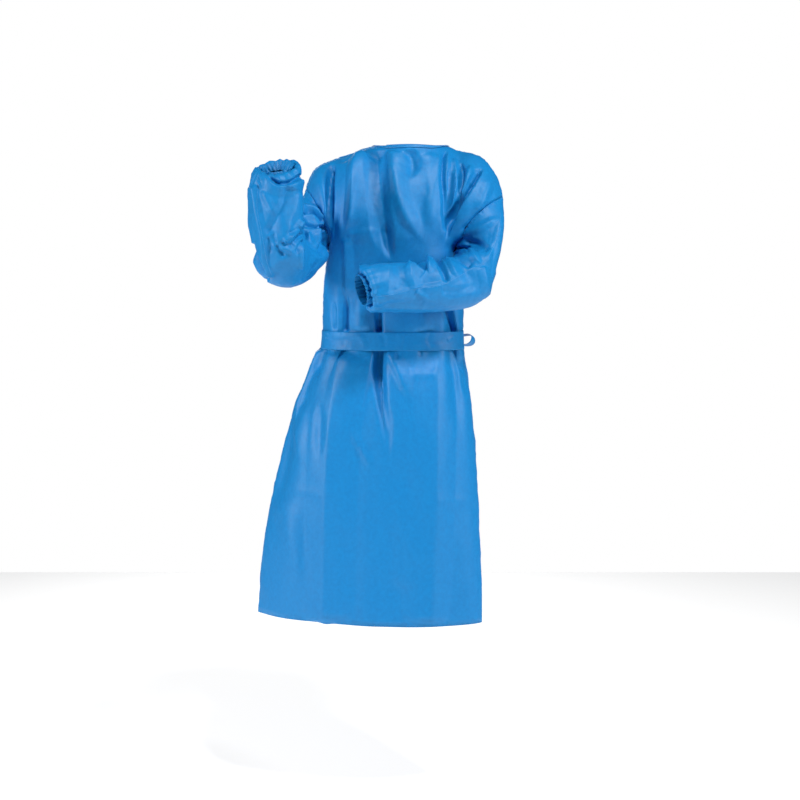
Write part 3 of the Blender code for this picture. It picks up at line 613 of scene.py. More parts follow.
# %% The shoulder and sleeve on the gown's left
SHOULDER_CREASES = [
    ([(461, 162), (462, 176), (459, 192), (452.5, 215), (448, 234)], -7, 5, 3, 0.1, 0.35),
    ([(483, 167), (470, 187), (459, 204), (451, 222), (447, 240)], -9, 3, 6, 0.1, 0.3),
    ([(472, 163), (466, 180), (457, 203)], 4, 5, 4, 0.2, 0.3, 0.12),
    ([(492, 172), (484, 195), (474, 215)], 4, 8, 8, 0.3, 0.3, 0.6),
    ([(500, 217), (480, 228), (463, 235), (452, 242)], 5, 5, 6, 0.2, 0.3, 0.12),
]
LEFT_SLEEVE_CREASES = [
    # the tuck and the step on the forearm's upper edge
    ([(408, 262), (416, 267), (425, 273)], 5, 2.5, 8, 0.05, 0.1),
    ([(413, 262), (420, 265), (426, 270)], -7, 4, 2.5, 0.1, 0.1),
    ([(427.5, 250), (427.8, 262), (428.5, 274)], 11, 11, 2.5, 0.0, 0.4),
    ([(432, 251), (443, 269), (448, 284)], -8, 4, 4.5, 0.02, 0.15),
    ([(443, 251), (449, 262), (457, 278)], 6, 11, 3.5, 0.02, 0.2),
    # the pocket in the crook of the arm
    ([(442, 252.5), (455, 251.2), (468, 250)], 6, 2.5, 7, 0.02, 0.05),
    ([(447, 249), (458, 248.6), (470, 248)], -11, 3, 2.5, 0.05, 0.02),
    ([(447, 255.5), (458, 258.5), (472, 267)], -6, 6, 5, 0.05, 0.1),
    ([(469, 249.5), (475, 258), (480, 266)], 6, 5, 5, 0.05, 0.2),
    ([(449, 245), (457, 235), (465, 229)], 5, 4, 4, 0.05, 0.4, 0.1),
    ([(463, 241), (477, 244), (491, 250)], -6, 6, 6, 0.2, 0.2, 0.7),
    # the sewn edge along the arm, and the flat faces above and below it
    ([(375, 297), (389, 295), (415, 289), (442, 285)], 4, 4, 10, 0.05, 0.02),
    (
        [(440, 285.3), (470, 269.7), (481.6, 265.5),
         (493, 248), (498, 231), (501, 215)],
        2.5, 4, 5, 0.02, 0.1,
    ),
    ([(389, 263), (388.5, 281), (387.5, 296)], 3, 6, 9, 0.1, 0.05),
    ([(409, 265), (412, 277), (415.5, 289)], 4, 9, 6, 0.05, 0.05),
    ([(398, 262), (400, 276), (400, 290)], -2.5, 7, 7, 0.2, 0.2, 0.4),
    ([(415, 291), (422, 296), (430, 299)], 3, 5, 4, 0.1, 0.4, 0.2),
    ([(380, 305), (405, 304), (440, 306)], -3, 6, 5, 0.2, 0.3, 0.5),
    ([(440, 290), (455, 292), (476, 284)], -3, 6, 7, 0.2, 0.3, 0.5),
    ([(482, 266), (486, 282), (489, 299)], 5, 6, 7, 0.1, 0.05, 0.1),
    ([(495, 240), (494, 258), (492, 276)], -3, 5, 5, 0.2, 0.2, 0.3),
    ([(473, 203), (473, 226)], -1.5, 2, 2, 0.2, 0.3, 0.12),
    # the sleeve's end
    ([(361, 267), (365.5, 277), (370.5, 292), (375, 297)], 5, 7, 2.5, 0.0, 0.1),
    ([(362, 279), (366, 292), (364, 309)], -6, 3, 3, 0.1, 0.05),
    ([(371, 293), (369, 303), (368, 314)], 4, 8, 3, 0.1, 0.0),
]

# %% The sleeve on the gown's right
RIGHT_SLEEVE_CREASES = [
    # the forearm
    (
        [(253.4, 184), (257, 208), (261.4, 230), (263.7, 246),
         (264.6, 260), (269, 272), (269, 281)],
        7, 5, 7, 0.05, 0.05,
    ),
    ([(287.3, 187), (283, 203.6), (275, 219), (266.5, 236)], -6, 14, 6, 0.02, 0.15),
    ([(250, 243), (253, 255), (261, 270), (269, 281)], -8, 6, 3, 0.05, 0.05),
    ([(303, 221), (296, 231), (290, 237.5), (283, 242)], 6, 4, 4, 0.02, 0.1),
    ([(300, 227), (293, 232), (287, 234)], -5, 3, 3, 0.1, 0.3),
    ([(302, 232), (295, 241), (288, 247)], -5, 3, 3, 0.05, 0.3),
    ([(302, 240), (298, 250), (297, 255)], -5, 3, 3, 0.05, 0.3),
    ([(273, 233), (274, 240), (276, 245)], -4, 3, 4, 0.2, 0.2),
    ([(275, 244), (280, 250), (285, 257)], -4, 3, 3, 0.2, 0.2),
    ([(277, 248), (287, 249), (293, 254)], 4, 3, 3, 0.2, 0.2),
    ([(280, 243), (289, 244), (296, 247)], -3, 2.5, 3, 0.2, 0.2),
    ([(267, 236), (270, 245), (268, 258)], -3, 4, 4, 0.1, 0.4, 0.1),
    ([(301, 236), (301.8, 252), (301.5, 270)], 4, 3, 4, 0.1, 0.1),
    ([(268, 276), (278, 262), (292, 256)], 3, 7, 7, 0.1, 0.3, 0.2),
    ([(262, 190), (270, 206), (276, 216)], 3, 6, 5, 0.2, 0.3, 0.2),
    # the sleeve's end
    ([(262, 174), (275.7, 186), (288.7, 186.5), (302, 180)], 6, 3, 10, 0.05, 0.02),
    ([(268, 177), (279, 183), (290, 182), (302, 175)], -6, 3, 3, 0.1, 0.02),
    ([(256, 168), (262, 179), (263, 192)], 4, 4, 5, 0.0, 0.4),
]

# %% The upper sleeve on the gown's right, bunched in the crook
RIGHT_UPPER_CREASES = [
    ([(300, 207), (313, 208.5), (318, 214), (325, 223)], 7, 4, 2.5, 0.02, 0.05),
    ([(301, 212.5), (313, 214), (321, 223)], -9, 3, 3, 0.02, 0.1),
    ([(301, 218.5), (313, 217), (323, 226)], 6, 3, 3.5, 0.02, 0.1),
    ([(301, 221.5), (316.8, 227), (326, 228)], -10, 2.5, 3, 0.02, 0.02),
    ([(302, 230), (312, 230.5), (320, 230)], 4, 3, 4, 0.05, 0.1),
    ([(303.5, 232), (304.5, 250), (305, 272)], -12, 4.5, 2.5, 0.02, 0.1),
    ([(307, 233), (311, 245), (315, 257)], 6, 4, 3, 0.05, 0.2),
    ([(319.5, 228), (318.5, 238), (314, 251)], 6, 2.5, 5, 0.05, 0.2),
    ([(321, 227), (321.5, 243), (319, 258)], -8, 4.5, 3, 0.02, 0.1),
    ([(313, 252), (317, 256), (321, 259)], 3, 3, 3, 0.1, 0.1),
    ([(309, 194), (317, 201), (325, 216)], 4, 3, 4, 0.05, 0.1),
]
print("right arm creases", len(RIGHT_SLEEVE_CREASES), "and", len(RIGHT_UPPER_CREASES))

# %% [markdown]
# The back isn't in the photograph. Such a gown is packed flat, folded in the same places front
# and back, and its belt gathers the back in the same way, so the back gets the packing creases
# again and uneven pleats of its own above and below the belt and under the neck tie.

# %% The back, drawn on the plane behind the gown
BACK_CREASES = [
    ([(338, 340), (331, 400), (328, 500), (326, 624)], 5, 22, 12, 0.05, 0.02),
    ([(436, 345), (437, 430), (436, 510), (432, 624)], 5, 12, 22, 0.05, 0.02),
    ([(385, 345), (383, 380), (377, 440)], -8, 6, 8, 0.02, 0.6, 0.1),
    ([(402, 344), (405, 370), (404, 405)], -6, 5, 6, 0.02, 0.6, 0.1),
    ([(418, 345), (422, 388), (431, 450)], -8, 8, 5, 0.02, 0.6, 0.1),
    ([(360, 346), (354, 380), (350, 410)], -5, 5, 5, 0.02, 0.5, 0.1),
    ([(448, 345), (455, 375), (461, 420)], -6, 6, 4, 0.02, 0.5, 0.1),
    ([(392, 331), (390, 300), (386, 255)], -7, 6, 5, 0.02, 0.6, 0.1),
    ([(372, 331), (368, 296), (357, 250)], -6, 5, 6, 0.02, 0.6, 0.1),
    ([(424, 331), (428, 292), (437, 240)], -7, 5, 6, 0.02, 0.6, 0.1),
    ([(441, 331), (444, 305), (452, 275)], -5, 4, 5, 0.02, 0.5, 0.1),
    ([(410, 331), (409, 308)], -4, 4, 4, 0.02, 0.5, 0.1),
    ([(386, 156), (375, 178), (354, 205)], -6, 6, 6, 0.02, 0.5, 0.2),
    ([(394, 160), (392, 190), (385, 225)], -6, 5, 6, 0.02, 0.5, 0.2),
    ([(404, 160), (411, 192), (424, 225)], -6, 6, 5, 0.02, 0.5, 0.2),
    ([(412, 155), (430, 172), (455, 190)], -5, 6, 6, 0.02, 0.5, 0.2),
    ([(300, 374), (360, 372), (440, 374)], 1.6, 5, 5, 0.1, 0.1),
    ([(270, 500), (350, 502), (440, 500), (480, 501)], 1.8, 6, 5, 0.05, 0.05),
    ([(345, 240), (400, 243), (455, 239)], 1.6, 5, 5, 0.1, 0.1),
    ([(455, 400), (462, 480), (466, 560)], -4, 10, 8, 0.3, 0.3, 0.6),
    ([(300, 420), (290, 500), (284, 580)], -5, 12, 9, 0.3, 0.3, 0.6),
    ([(355, 450), (352, 530), (356, 600)], 3, 14, 12, 0.3, 0.3, 0.7),
    ([(410, 450), (414, 530), (408, 610)], -3, 14, 12, 0.3, 0.2, 0.7),
]
print("back creases", len(BACK_CREASES))

# %% The sides and the backs of the sleeves, drawn on planes beside and behind the gown
BACK_SLEEVE_CREASES = [
    ([(462, 172), (478, 190), (487, 214)], -5, 6, 5, 0.05, 0.4, 0.1),
    ([(455, 205), (472, 222), (484, 246)], 4, 7, 6, 0.1, 0.3, 0.1),
    ([(452, 232), (468, 238), (486, 240)], -5, 5, 5, 0.05, 0.3),
    ([(462, 262), (476, 268), (492, 262)], -5, 4, 5, 0.1, 0.3),
    ([(470, 285), (482, 280), (495, 268)], 4, 5, 6, 0.1, 0.3),
    ([(400, 280), (430, 286), (460, 280)], -3, 6, 7, 0.2, 0.2, 0.2),
    ([(385, 300), (410, 294), (440, 300)], 3, 6, 6, 0.2, 0.2, 0.1),
    ([(330, 180), (318, 200), (309, 226)], -5, 6, 5, 0.05, 0.4, 0.1),
    ([(334, 212), (318, 224), (306, 246)], 4, 6, 6, 0.1, 0.3, 0.1),
    ([(330, 240), (314, 250), (300, 262)], -5, 5, 4, 0.05, 0.3),
    ([(300, 284), (285, 276), (272, 262)], 4, 6, 5, 0.1, 0.3),
    ([(270, 250), (264, 220), (268, 190)], -3, 7, 6, 0.2, 0.2, 0.2),
    ([(290, 236), (286, 208), (290, 182)], 3, 7, 7, 0.2, 0.2, 0.1),
]
RIGHT_SIDE_CREASES = [
    ([(386, 204), (366, 224), (346, 244)], -5, 6, 5, 0.05, 0.3),
    ([(374, 196), (352, 212), (332, 234)], 4, 7, 6, 0.1, 0.3, 0.1),
    ([(396, 236), (372, 244), (352, 262)], -5, 5, 5, 0.05, 0.3),
    ([(346, 262), (334, 274), (318, 282)], 4, 6, 6, 0.1, 0.2),
    ([(334, 246), (318, 252), (300, 250)], -6, 4, 4, 0.05, 0.2),
    ([(336, 238), (322, 232), (306, 236)], 4, 4, 4, 0.05, 0.3),
    ([(306, 240), (302, 205), (305, 172)], 3, 7, 8, 0.2, 0.1, 0.1),
    ([(320, 232), (323, 200), (317, 170)], -3.5, 7, 6, 0.1, 0.1, 0.1),
    ([(398, 331), (395, 300), (391, 264)], -7, 5, 6, 0.02, 0.5),
    ([(416, 331), (419, 300), (426, 262)], -6, 6, 5, 0.02, 0.5),
    ([(380, 331), (376, 305), (373, 280)], -5, 5, 5, 0.02, 0.5),
    ([(394, 346), (389, 400), (382, 480)], -9, 8, 7, 0.02, 0.6),
    ([(413, 346), (420, 410), (431, 500)], -8, 7, 9, 0.02, 0.6),
    ([(374, 346), (368, 392), (361, 440)], -6, 6, 6, 0.02, 0.6),
    ([(403, 420), (404, 520), (402, 612)], 5, 16, 14, 0.3, 0.02),
]
LEFT_SIDE_CREASES = [
    ([(392, 200), (382, 224), (366, 246)], -5, 6, 5, 0.05, 0.3),
    ([(376, 206), (366, 230), (352, 250)], 4, 6, 6, 0.1, 0.3, 0.1),
    ([(400, 228), (386, 246), (370, 262)], -5, 5, 6, 0.05, 0.3),
    ([(372, 268), (358, 272), (342, 270)], -6, 4, 4, 0.05, 0.2),
    ([(374, 280), (358, 286), (338, 284)], 4, 5, 5, 0.05, 0.3),
    ([(356, 300), (338, 300), (320, 292)], -4, 5, 5, 0.1, 0.3),
    ([(402, 331), (404, 298), (399, 262)], -7, 6, 5, 0.02, 0.5),
    ([(384, 331), (380, 302), (382, 276)], -5, 5, 5, 0.02, 0.5),
    ([(419, 331), (424, 296), (421, 258)], -6, 5, 6, 0.02, 0.5),
    ([(398, 346), (402, 396), (396, 470)], -9, 7, 8, 0.02, 0.6),
    ([(380, 346), (376, 400), (366, 462)], -7, 7, 6, 0.02, 0.6),
    ([(418, 346), (424, 402), (436, 490)], -8, 8, 7, 0.02, 0.6),
    ([(392, 430), (394, 520), (390, 612)], 5, 14, 16, 0.3, 0.02),
]
print("hidden creases", len(BACK_SLEEVE_CREASES) + len(RIGHT_SIDE_CREASES) + len(LEFT_SIDE_CREASES))

# %% The belt and its folds
BELT_CREASES = [
    ([(447, 341), (451, 338.5), (456, 335)], 1.6, 3, 2, 0.1, 0.3),
    ([(322, 338), (345, 336.5), (372, 338)], 1.0, 4, 3, 0.1, 0.3),
    ([(380, 334), (384, 340), (383, 348)], -1.4, 4, 3, 0.1, 0.1, 0.2),
    ([(399, 333), (401, 341), (398, 349)], 1.2, 4, 5, 0.1, 0.1, 0.2),
    ([(431, 332), (428, 340), (432, 348)], -1.4, 5, 3, 0.1, 0.1, 0.2),
    ([(341, 333), (344, 339), (343, 347)], -1.0, 3, 4, 0.1, 0.1, 0.2),
    ([(360, 334), (362, 340), (365, 348)], 1.0, 5, 4, 0.1, 0.1, 0.2),
    ([(410, 345), (425, 344), (445, 344.5)], 1.0, 3, 3, 0.2, 0.2),
]
print("belt creases", len(BELT_CREASES))

# %% [markdown]
# ## Gathers, dents and waves
#
# Elastic in the cuffs pulls the cloth into pleats, and handling leaves small dents everywhere. Both
# repeat too often to be placed one by one. So a zigzag round the tube makes the pleats, short
# random creases make the dents, and smooth noise keeps the flat places from being quite flat.

# %% Gathers: cloth that elastic pulls together
def gathers(points, middle, axis, count, tall, seed):
    """Heights of uneven pleats round a tube with this middle and axis."""
    across = np.cross(axis, [0.2, 0.3, 0.93])
    across /= np.linalg.norm(across)
    up = np.cross(axis, across)
    away = points - middle
    turn = np.arctan2(away @ up, away @ across)
    phase = count * turn + 1.1 * np.sin(3 * turn + seed) + 0.7 * np.sin(5 * turn + 2 * seed)
    part = phase / (2 * math.pi)
    fold = 2.0 * np.abs(2.0 * (part - np.floor(part + 0.5))) - 1.0
    return tall * fold * (0.7 + 0.3 * np.sin(2 * turn + seed))


def tube_axis(points):
    """Middle and axis of a short tube: its points spread least along the axis."""
    middle = points.mean(axis=0)
    return middle, np.linalg.svd(points - middle, full_matrices=False)[2][2]


# %% Small dents: cloth that has been folded and pushed about
def dents(points, normals, count, seed, tall, long, wide):
    """Heights of short random creases laid on a surface, some up and some down."""
    chance = np.random.default_rng(seed)
    heights = np.zeros(len(points))
    for _ in range(count):
        middle = chance.integers(len(points))
        spin = chance.uniform(0, math.pi)
        out = normals[middle]
        side = np.cross(out, [0.31, 0.22, 0.92])
        side /= np.linalg.norm(side)
        way = math.cos(spin) * side + math.sin(spin) * np.cross(out, side)
        across = np.cross(out, way)
        half = 0.5 * long * chance.uniform(0.5, 1.4)
        left = wide * chance.uniform(0.5, 1.3)
        right = wide * chance.uniform(0.5, 1.3)
        rise = tall * chance.uniform(0.4, 1.0) * chance.choice([-1.0, 1.0])
        offset = points - points[middle]
        over = offset @ across
        fade = ease(1.0 - np.abs(offset @ way) / half) * ease(2.0 - np.abs(offset @ out) / 0.012)
        slope = np.clip(1.0 - np.abs(over) / np.where(over > 0, left, right), 0.0, 1.0)
        heights += rise * fade * slope
    return heights


def waves(points, size, tall, seed):
    """Heights of a smooth random relief with bumps about size across."""
    shift = Vector((seed * 7.1, seed * 3.3, seed * 5.7))
    return tall * np.array([noise.noise(Vector(p) / size + shift) for p in points])


# %% Surfaces as arrays, and planes to draw on
PIXEL = 0.0025
MOUNT_COLUMN = 400
MOUNT_ROW = 148


def as_arrays(form):
    """Points and normals of a form's vertices."""
    form.normal_update()
    points = np.array([vertex.co for vertex in form.verts])
    normals = np.array([vertex.normal for vertex in form.verts])
    return points, normals


def facing(normals):
    """1 where a surface faces the camera, 0 where it turns away."""
    return ease((-(normals @ np.array(LOOK)) + 0.5) / 0.45)


def rows_of(table, spots, share):
    """All creases of a table at these spots."""
    return share * sum(tent(spots, *row) for row in table)


def behind(points):
    """Places on a plane behind the gown, in the picture's own units."""
    return np.stack([MOUNT_COLUMN + points[:, 0] / PIXEL, MOUNT_ROW - points[:, 2] / PIXEL], axis=1)


def beside(points):
    """Places on a plane beside the gown, in the same units, the back at the right."""
    return np.stack([MOUNT_COLUMN + points[:, 1] / PIXEL, MOUNT_ROW - points[:, 2] / PIXEL], axis=1)


print("on both planes the mount is at", behind(np.zeros((1, 3))), beside(np.zeros((1, 3))))


# %% Creases on each panel
TABLES = {
    "front": FRONT_CREASES + SHOULDER_CREASES,
    "sleeve_left": SHOULDER_CREASES + LEFT_SLEEVE_CREASES,
}
RELIEF = {
    "front": 1.9,
    "back_left": 1.7,
    "back_right": 1.7,
    "sleeve_left": 1.35,
    "sleeve_right": 1.45,
}
BELT_TOP = -0.455
BELT_LOW = -0.500
FOREARM_FRONT = -0.195
NECK_ROW = 148.0


def under_belt(points):
    """1 below and above the belt, 0 under it."""
    away = np.maximum(points[:, 2] - BELT_TOP, BELT_LOW - points[:, 2])
    return ease((away + 0.002) / 0.014)


def sideways(looks):
    """1 where a surface faces the side that looks counts along, 0 where it faces another way."""
    return ease((looks - 0.45) / 0.3)


def creases_of(name, points, normals):
    """Heights of the creases that are listed for one panel."""
    relief = RELIEF[name]
    spots = seen_at(points)
    seen = facing(normals)
    away = ease((normals[:, 1] + 0.1) / 0.3)
    high = rows_of(RIGHT_SIDE_CREASES, beside(points), sideways(-normals[:, 0]))
    high += rows_of(LEFT_SIDE_CREASES, beside(points), sideways(normals[:, 0]))
    if name in SLEEVES:
        high = relief * high * (1.0 - seen)
        high = high + relief * rows_of(BACK_SLEEVE_CREASES, behind(points), away)
    if name == "sleeve_right":
        upper = ease((points[:, 1] - FOREARM_FRONT) / 0.03)
        high += rows_of(RIGHT_SLEEVE_CREASES, spots, relief * seen * (1.0 - upper))
        return high + rows_of(RIGHT_UPPER_CREASES, spots, relief * seen * upper)
    if name == "sleeve_left":
        return high + rows_of(TABLES[name], spots, relief * seen)
    if name == "front":
        edge = ease((spots[:, 1] - NECK_ROW) / 7.0)
        return rows_of(TABLES[name], spots, relief * seen * edge) + high * (1.0 - seen)
    return rows_of(BACK_CREASES, behind(points), relief * away) + high * (1.0 - away)


# %% [markdown]
# ## Sharper creases
#
# Paper-like cloth bends at a line and stays flat beside it. One more level of subdivision on the
# whole gown would cost four times the faces, so only the edges that a crease crosses are parted.

# %% Part the steep edges of the trunk, and find the seams again
STEEP = 0.0006
FINE_REACH = 0.002
for name in TRUNK:
    form = panels[name]
    high = creases_of(name, *as_arrays(form))
    before = len(form.faces)
    steep = [
        edge
        for edge in form.edges
        if not edge.is_boundary and abs(high[edge.verts[0].index] - high[edge.verts[1].index]) > STEEP
    ]
    bmesh.ops.subdivide_edges(form, edges=steep, cuts=1, use_grid_fill=True)
    number(form)
    print(name, before, "faces became", len(form.faces))
fine_groups = seam_groups(panels, FINE_REACH)
close_seams(panels, fine_groups)
print("fine seam groups", len(fine_groups))


# %% The sleeves are finer than the trunk, so every second rim vertex rests between two sewn ones
def rim_pairs(form):
    """The edges of a sheet's rim, as pairs of vertex indices."""
    return [tuple(vertex.index for vertex in edge.verts) for edge in form.edges if edge.is_boundary]


def linked(pairs):
    """What each vertex is joined to, by index."""
    next_to = {}
    for a, b in pairs:
        next_to.setdefault(a, []).append(b)
        next_to.setdefault(b, []).append(a)
    return next_to


sewn = {name: {i for group in fine_groups for n, i in group if n == name} for name in panels}
between = {
    name: {
        index: pair
        for index, pair in linked(rim_pairs(form)).items()
        if index not in sewn[name] and len(pair) == 2 and set(pair) <= sewn[name]
    }
    for name, form in panels.items()
}


def settle_between():
    """Puts each rim vertex between two sewn ones on the straight line between them."""
    for name, pairs in between.items():
        verts = panels[name].verts
        for index, (a, b) in pairs.items():
            verts[index].co = (verts[a].co + verts[b].co) / 2


settle_between()
print("between", {name: len(pairs) for name, pairs in between.items()})

# %% [markdown]
# ## Pulls
#
# In a few places the gown hangs a little apart from its solids: the neckline is straighter, one
# loop of the belt's bow is higher, and the sleeves lie nearer to the trunk. The solids could be
# changed for that, but a pull that fades out over a few centimetres does it on the sheets alone.

# %% Small pulls: a sheet, a place in the picture, its reach in pixels, and the pull in metres
TUGS = [
    ("front", (412.0, 149.0), 36.0, (0.0, 0.0, 0.0045)),
    ("neck_binding", (412.0, 149.0), 36.0, (0.0, 0.0, 0.0045)),
    ("belt_loop_left", (476.0, 340.0), 16.0, (-0.003, 0.0, 0.009)),
    ("front", (326.0, 621.0), 9.0, (0.0, 0.0, -0.0035)),
    ("sleeve_left", (460.0, 251.0), 17.0, (-0.020, 0.0, 0.0)),
    ("sleeve_right", (325.0, 257.0), 17.0, (0.014, 0.0, 0.0)),
]


def tree_of(forms):
    """One search tree over the faces of several forms."""
    points, faces = [], []
    for form in forms:
        start = len(points)
        points += [vertex.co.copy() for vertex in form.verts]
        faces += [[start + vertex.index for vertex in face.verts] for face in form.faces]
    return BVHTree.FromPolygons(points, faces)


CLEAR = 0.0015
trunk_tree = tree_of([panels[name] for name in TRUNK])
for name, place, reach, pull in TUGS:
    form = sheets[name]
    places = np.array([vertex.co for vertex in form.verts])
    share = ease(1.0 - np.linalg.norm(seen_at(places) - np.array(place), axis=1) / reach)
    sleeve = name in SLEEVES
    if name in ("front", "neck_binding"):
        share *= ease((0.02 - places[:, 1]) / 0.04)
    for vertex, part in zip(form.verts, share):
        if part > 0.0 and not (sleeve and vertex.is_boundary):
            step = Vector(pull) * float(part)
            hit = trunk_tree.ray_cast(vertex.co, step.normalized(), step.length + CLEAR)
            if sleeve and hit[0] is not None:
                step = step.normalized() * max(0.0, hit[3] - CLEAR)
            vertex.co += step
    print(name, "pulled at", int((share > 0).sum()), "vertices")

# %% [markdown]
# ## The seams
#
# An overlocked seam lies in a shallow groove, and its thread, a little tighter than the cloth,
# pulls it into small even waves. Both need the seam's line, so the edge vertices that two sheets
# share are walked from one end to the other.

# %% Where the seams run
SHORT_WALK = 6


def walks(next_to):
    """Lines through joined vertices, each walked from a tip, or all round where it has none."""
    waiting = set(next_to)
    found = []
    while waiting:
        tips = [index for index in waiting if len(next_to[index]) == 1]
        walk = [min(tips) if tips else min(waiting)]
        waiting.discard(walk[0])
        while True:
            onward = [index for index in next_to[walk[-1]] if index in waiting]
            if not onward:
                break
            walk.append(onward[0])
            waiting.discard(onward[0])
        found.append(walk)
    return found


def seam_lines(name, partners):
    """The sewn edge lines of one panel against its partners, as ordered vertex indices."""
    shared = set()
    for group in fine_groups:
        if any(other in partners for other, _ in group):
            shared |= {index for other, index in group if other == name}
    shared |= {index for index, pair in between[name].items() if set(pair) <= shared}
    pairs = [pair for pair in rim_pairs(panels[name]) if shared.issuperset(pair)]
    return [walk for walk in walks(linked(pairs)) if len(walk) > SHORT_WALK]


SEAMS = {
    "armhole_left": ("sleeve_left", ["front", "back_left"]),
    "armhole_right": ("sleeve_right", ["front", "back_right"]),
    "side_left": ("front", ["back_left"]),
    "side_right": ("front", ["back_right"]),
}
seam_paths = {title: seam_lines(*pair) for title, pair in SEAMS.items()}
print({title: [len(line) for line in lines] for title, lines in seam_paths.items()})


# %% Puckers: thread that is a little tighter than the cloth
PUCKER_TALL = 0.0009
PUCKER_PITCH = 0.017
PUCKER_REACH = 0.016


def puckers(points, lines, seed):
    """Heights of small waves along seams, with the seam itself in a groove."""
    spots = np.vstack(lines)
    travel = [np.linalg.norm(np.diff(line, axis=0, prepend=line[:1]), axis=1).cumsum() for line in lines]
    along = np.concatenate(travel)
    tree = KDTree(len(spots))
    for index, spot in enumerate(spots):
        tree.insert(spot, index)
    tree.balance()
    found = [tree.find(point)[1:] for point in points]
    index = np.array([place for place, _ in found])
    distance = np.array([gap for _, gap in found])
    s = along[index] * 2 * math.pi / PUCKER_PITCH
    wave = np.sin(s + 1.7 * np.sin(s * 0.31 + seed)) * ease(1.0 - distance / PUCKER_REACH)
    groove = -0.0009 * ease(1.0 - distance / 0.005)
    lip = 0.0005 * ease(1.0 - np.abs(distance - 0.007) / 0.004)
    return PUCKER_TALL * wave + (groove + lip)


seam_spots = {
    title: [np.array([panels[SEAMS[title][0]].verts[i].co for i in line]) for line in lines]
    for title, lines in seam_paths.items()
}
all_seams = [line for lines in seam_spots.values() for line in lines]
sewn_length = sum(np.linalg.norm(np.diff(line, axis=0), axis=1).sum() for line in all_seams)
print("sewn length", round(sewn_length, 2), "m")

# %% The sleeves' ends, gathered into the cuffs
CUFFS = {"sleeve_left": "cuff_left", "sleeve_right": "cuff_right"}
PLEATS = 13
PLEAT_TALL = 0.0022
PLEAT_LONG = 0.045
CUFF_ROOM = 0.085
cuff_axes = {
    name: tube_axis(np.array([vertex.co for vertex in sheets[name].verts])) for name in CUFFS.values()
}


def gathered_end(points, cuff, seed):
    """Heights of the pleats on a sleeve's last few centimetres."""
    middle, axis = cuff_axes[cuff]
    away = points - middle
    depth = np.abs(away @ axis)
    near = np.linalg.norm(away - (away @ axis)[:, None] * axis, axis=1) < CUFF_ROOM
    fade = ease(1.0 - depth / PLEAT_LONG) * near
    return gathers(points, middle, axis, PLEATS, PLEAT_TALL, seed) * fade


# %% The heights
SLEEVE_DENTS = 90
TRUNK_DENTS = 110
DENT = {"tall": 0.0016, "long": 0.06, "wide": 0.012}
heights = {}
arrays = {}
for seed, (name, form) in enumerate(panels.items()):
    points, normals = as_arrays(form)
    arrays[name] = (points, normals)
    high = creases_of(name, points, normals)
    high += puckers(points, all_seams, seed)
    if name in SLEEVES:
        high += gathered_end(points, CUFFS[name], seed)
        high += dents(points, normals, SLEEVE_DENTS, seed, **DENT)
    else:
        high += dents(points, normals, TRUNK_DENTS, seed, **DENT)
    high += waves(points, 0.06, 0.0016, seed) + waves(points, 0.02, 0.0006, seed + 9)
    if name in TRUNK:
        high = np.where(high > 0, high * under_belt(points), high)
    heights[name] = high
    print(name, "creased from", round(high.min() * 1000, 1), "to", round(high.max() * 1000, 1), "mm")

# %% [markdown]
# Cloth can't pass through cloth. The trunk is creased first. Then each sleeve is, and a vertex
# that would come nearer than 1.5 mm to the trunk stops there.

# %% Move the vertices
def move_out(name, blockers):
    """Moves each vertex of a panel along its normal, but not into the blockers."""
    points, normals = arrays[name]
    stopped = 0
    for vertex, point, normal, high in zip(panels[name].verts, points, normals, heights[name]):
        way = Vector(normal) * (1.0 if high > 0 else -1.0)
        step = abs(high)
        hit = blockers.ray_cast(Vector(point), way, step + CLEAR)
        if hit[0] is not None and not vertex.is_boundary:
            step = max(0.0, hit[3] - CLEAR)
            stopped += 1
        vertex.co = Vector(point) + way * step
    print(name, "stopped at", stopped, "vertices")


sleeve_tree = tree_of([panels[name] for name in SLEEVES])
for name in TRUNK:
    move_out(name, sleeve_tree)
trunk_tree = tree_of([panels[name] for name in TRUNK])
for name in SLEEVES:
    move_out(name, trunk_tree)
close_seams(panels, fine_groups)
settle_between()

# %% Cuffs, belt and binding, each along its own normals
def shape(name, high):
    """Moves a small sheet's vertices along their normals."""
    points, normals = as_arrays(sheets[name])
    for vertex, point, normal, step in zip(sheets[name].verts, points, normals, high):
        vertex.co = Vector(point + normal * step)
    print(name, "shaped from", round(high.min() * 1000, 1), "to", round(high.max() * 1000, 1), "mm")


FLUTES = 24
FLUTE_TALL = 0.0013
for seed, name in enumerate(CUFFS.values()):
    points, _ = as_arrays(sheets[name])
    shape(name, gathers(points, *cuff_axes[name], FLUTES, FLUTE_TALL, 3.0 + seed))
points, normals = as_arrays(sheets["belt"])
high = rows_of(BELT_CREASES, seen_at(points), facing(normals))
high = high + dents(points, normals, 40, 31, tall=0.0007, long=0.05, wide=0.009)
shape("belt", high + waves(points, 0.03, 0.0008, 32))
for name in ("belt_loop_left", "belt_loop_right", "belt_tail_left", "belt_tail_right"):
    points, normals = as_arrays(sheets[name])
    pushed = dents(points, normals, 14, 34, tall=0.0009, long=0.05, wide=0.008)
    shape(name, waves(points, 0.03, 0.0016, 33) + pushed)

# %% [markdown]
# ## The cloth's thickness
#
# The real cloth is about 0.3 mm thick. Bare faces would show no edge at the hem and the neck, and a
# second layer could be modelled, but a Solidify modifier does it evenly. It goes 0.4 mm inwards, so
# the creased face stays where it is. The two knots are closed shapes and need none.

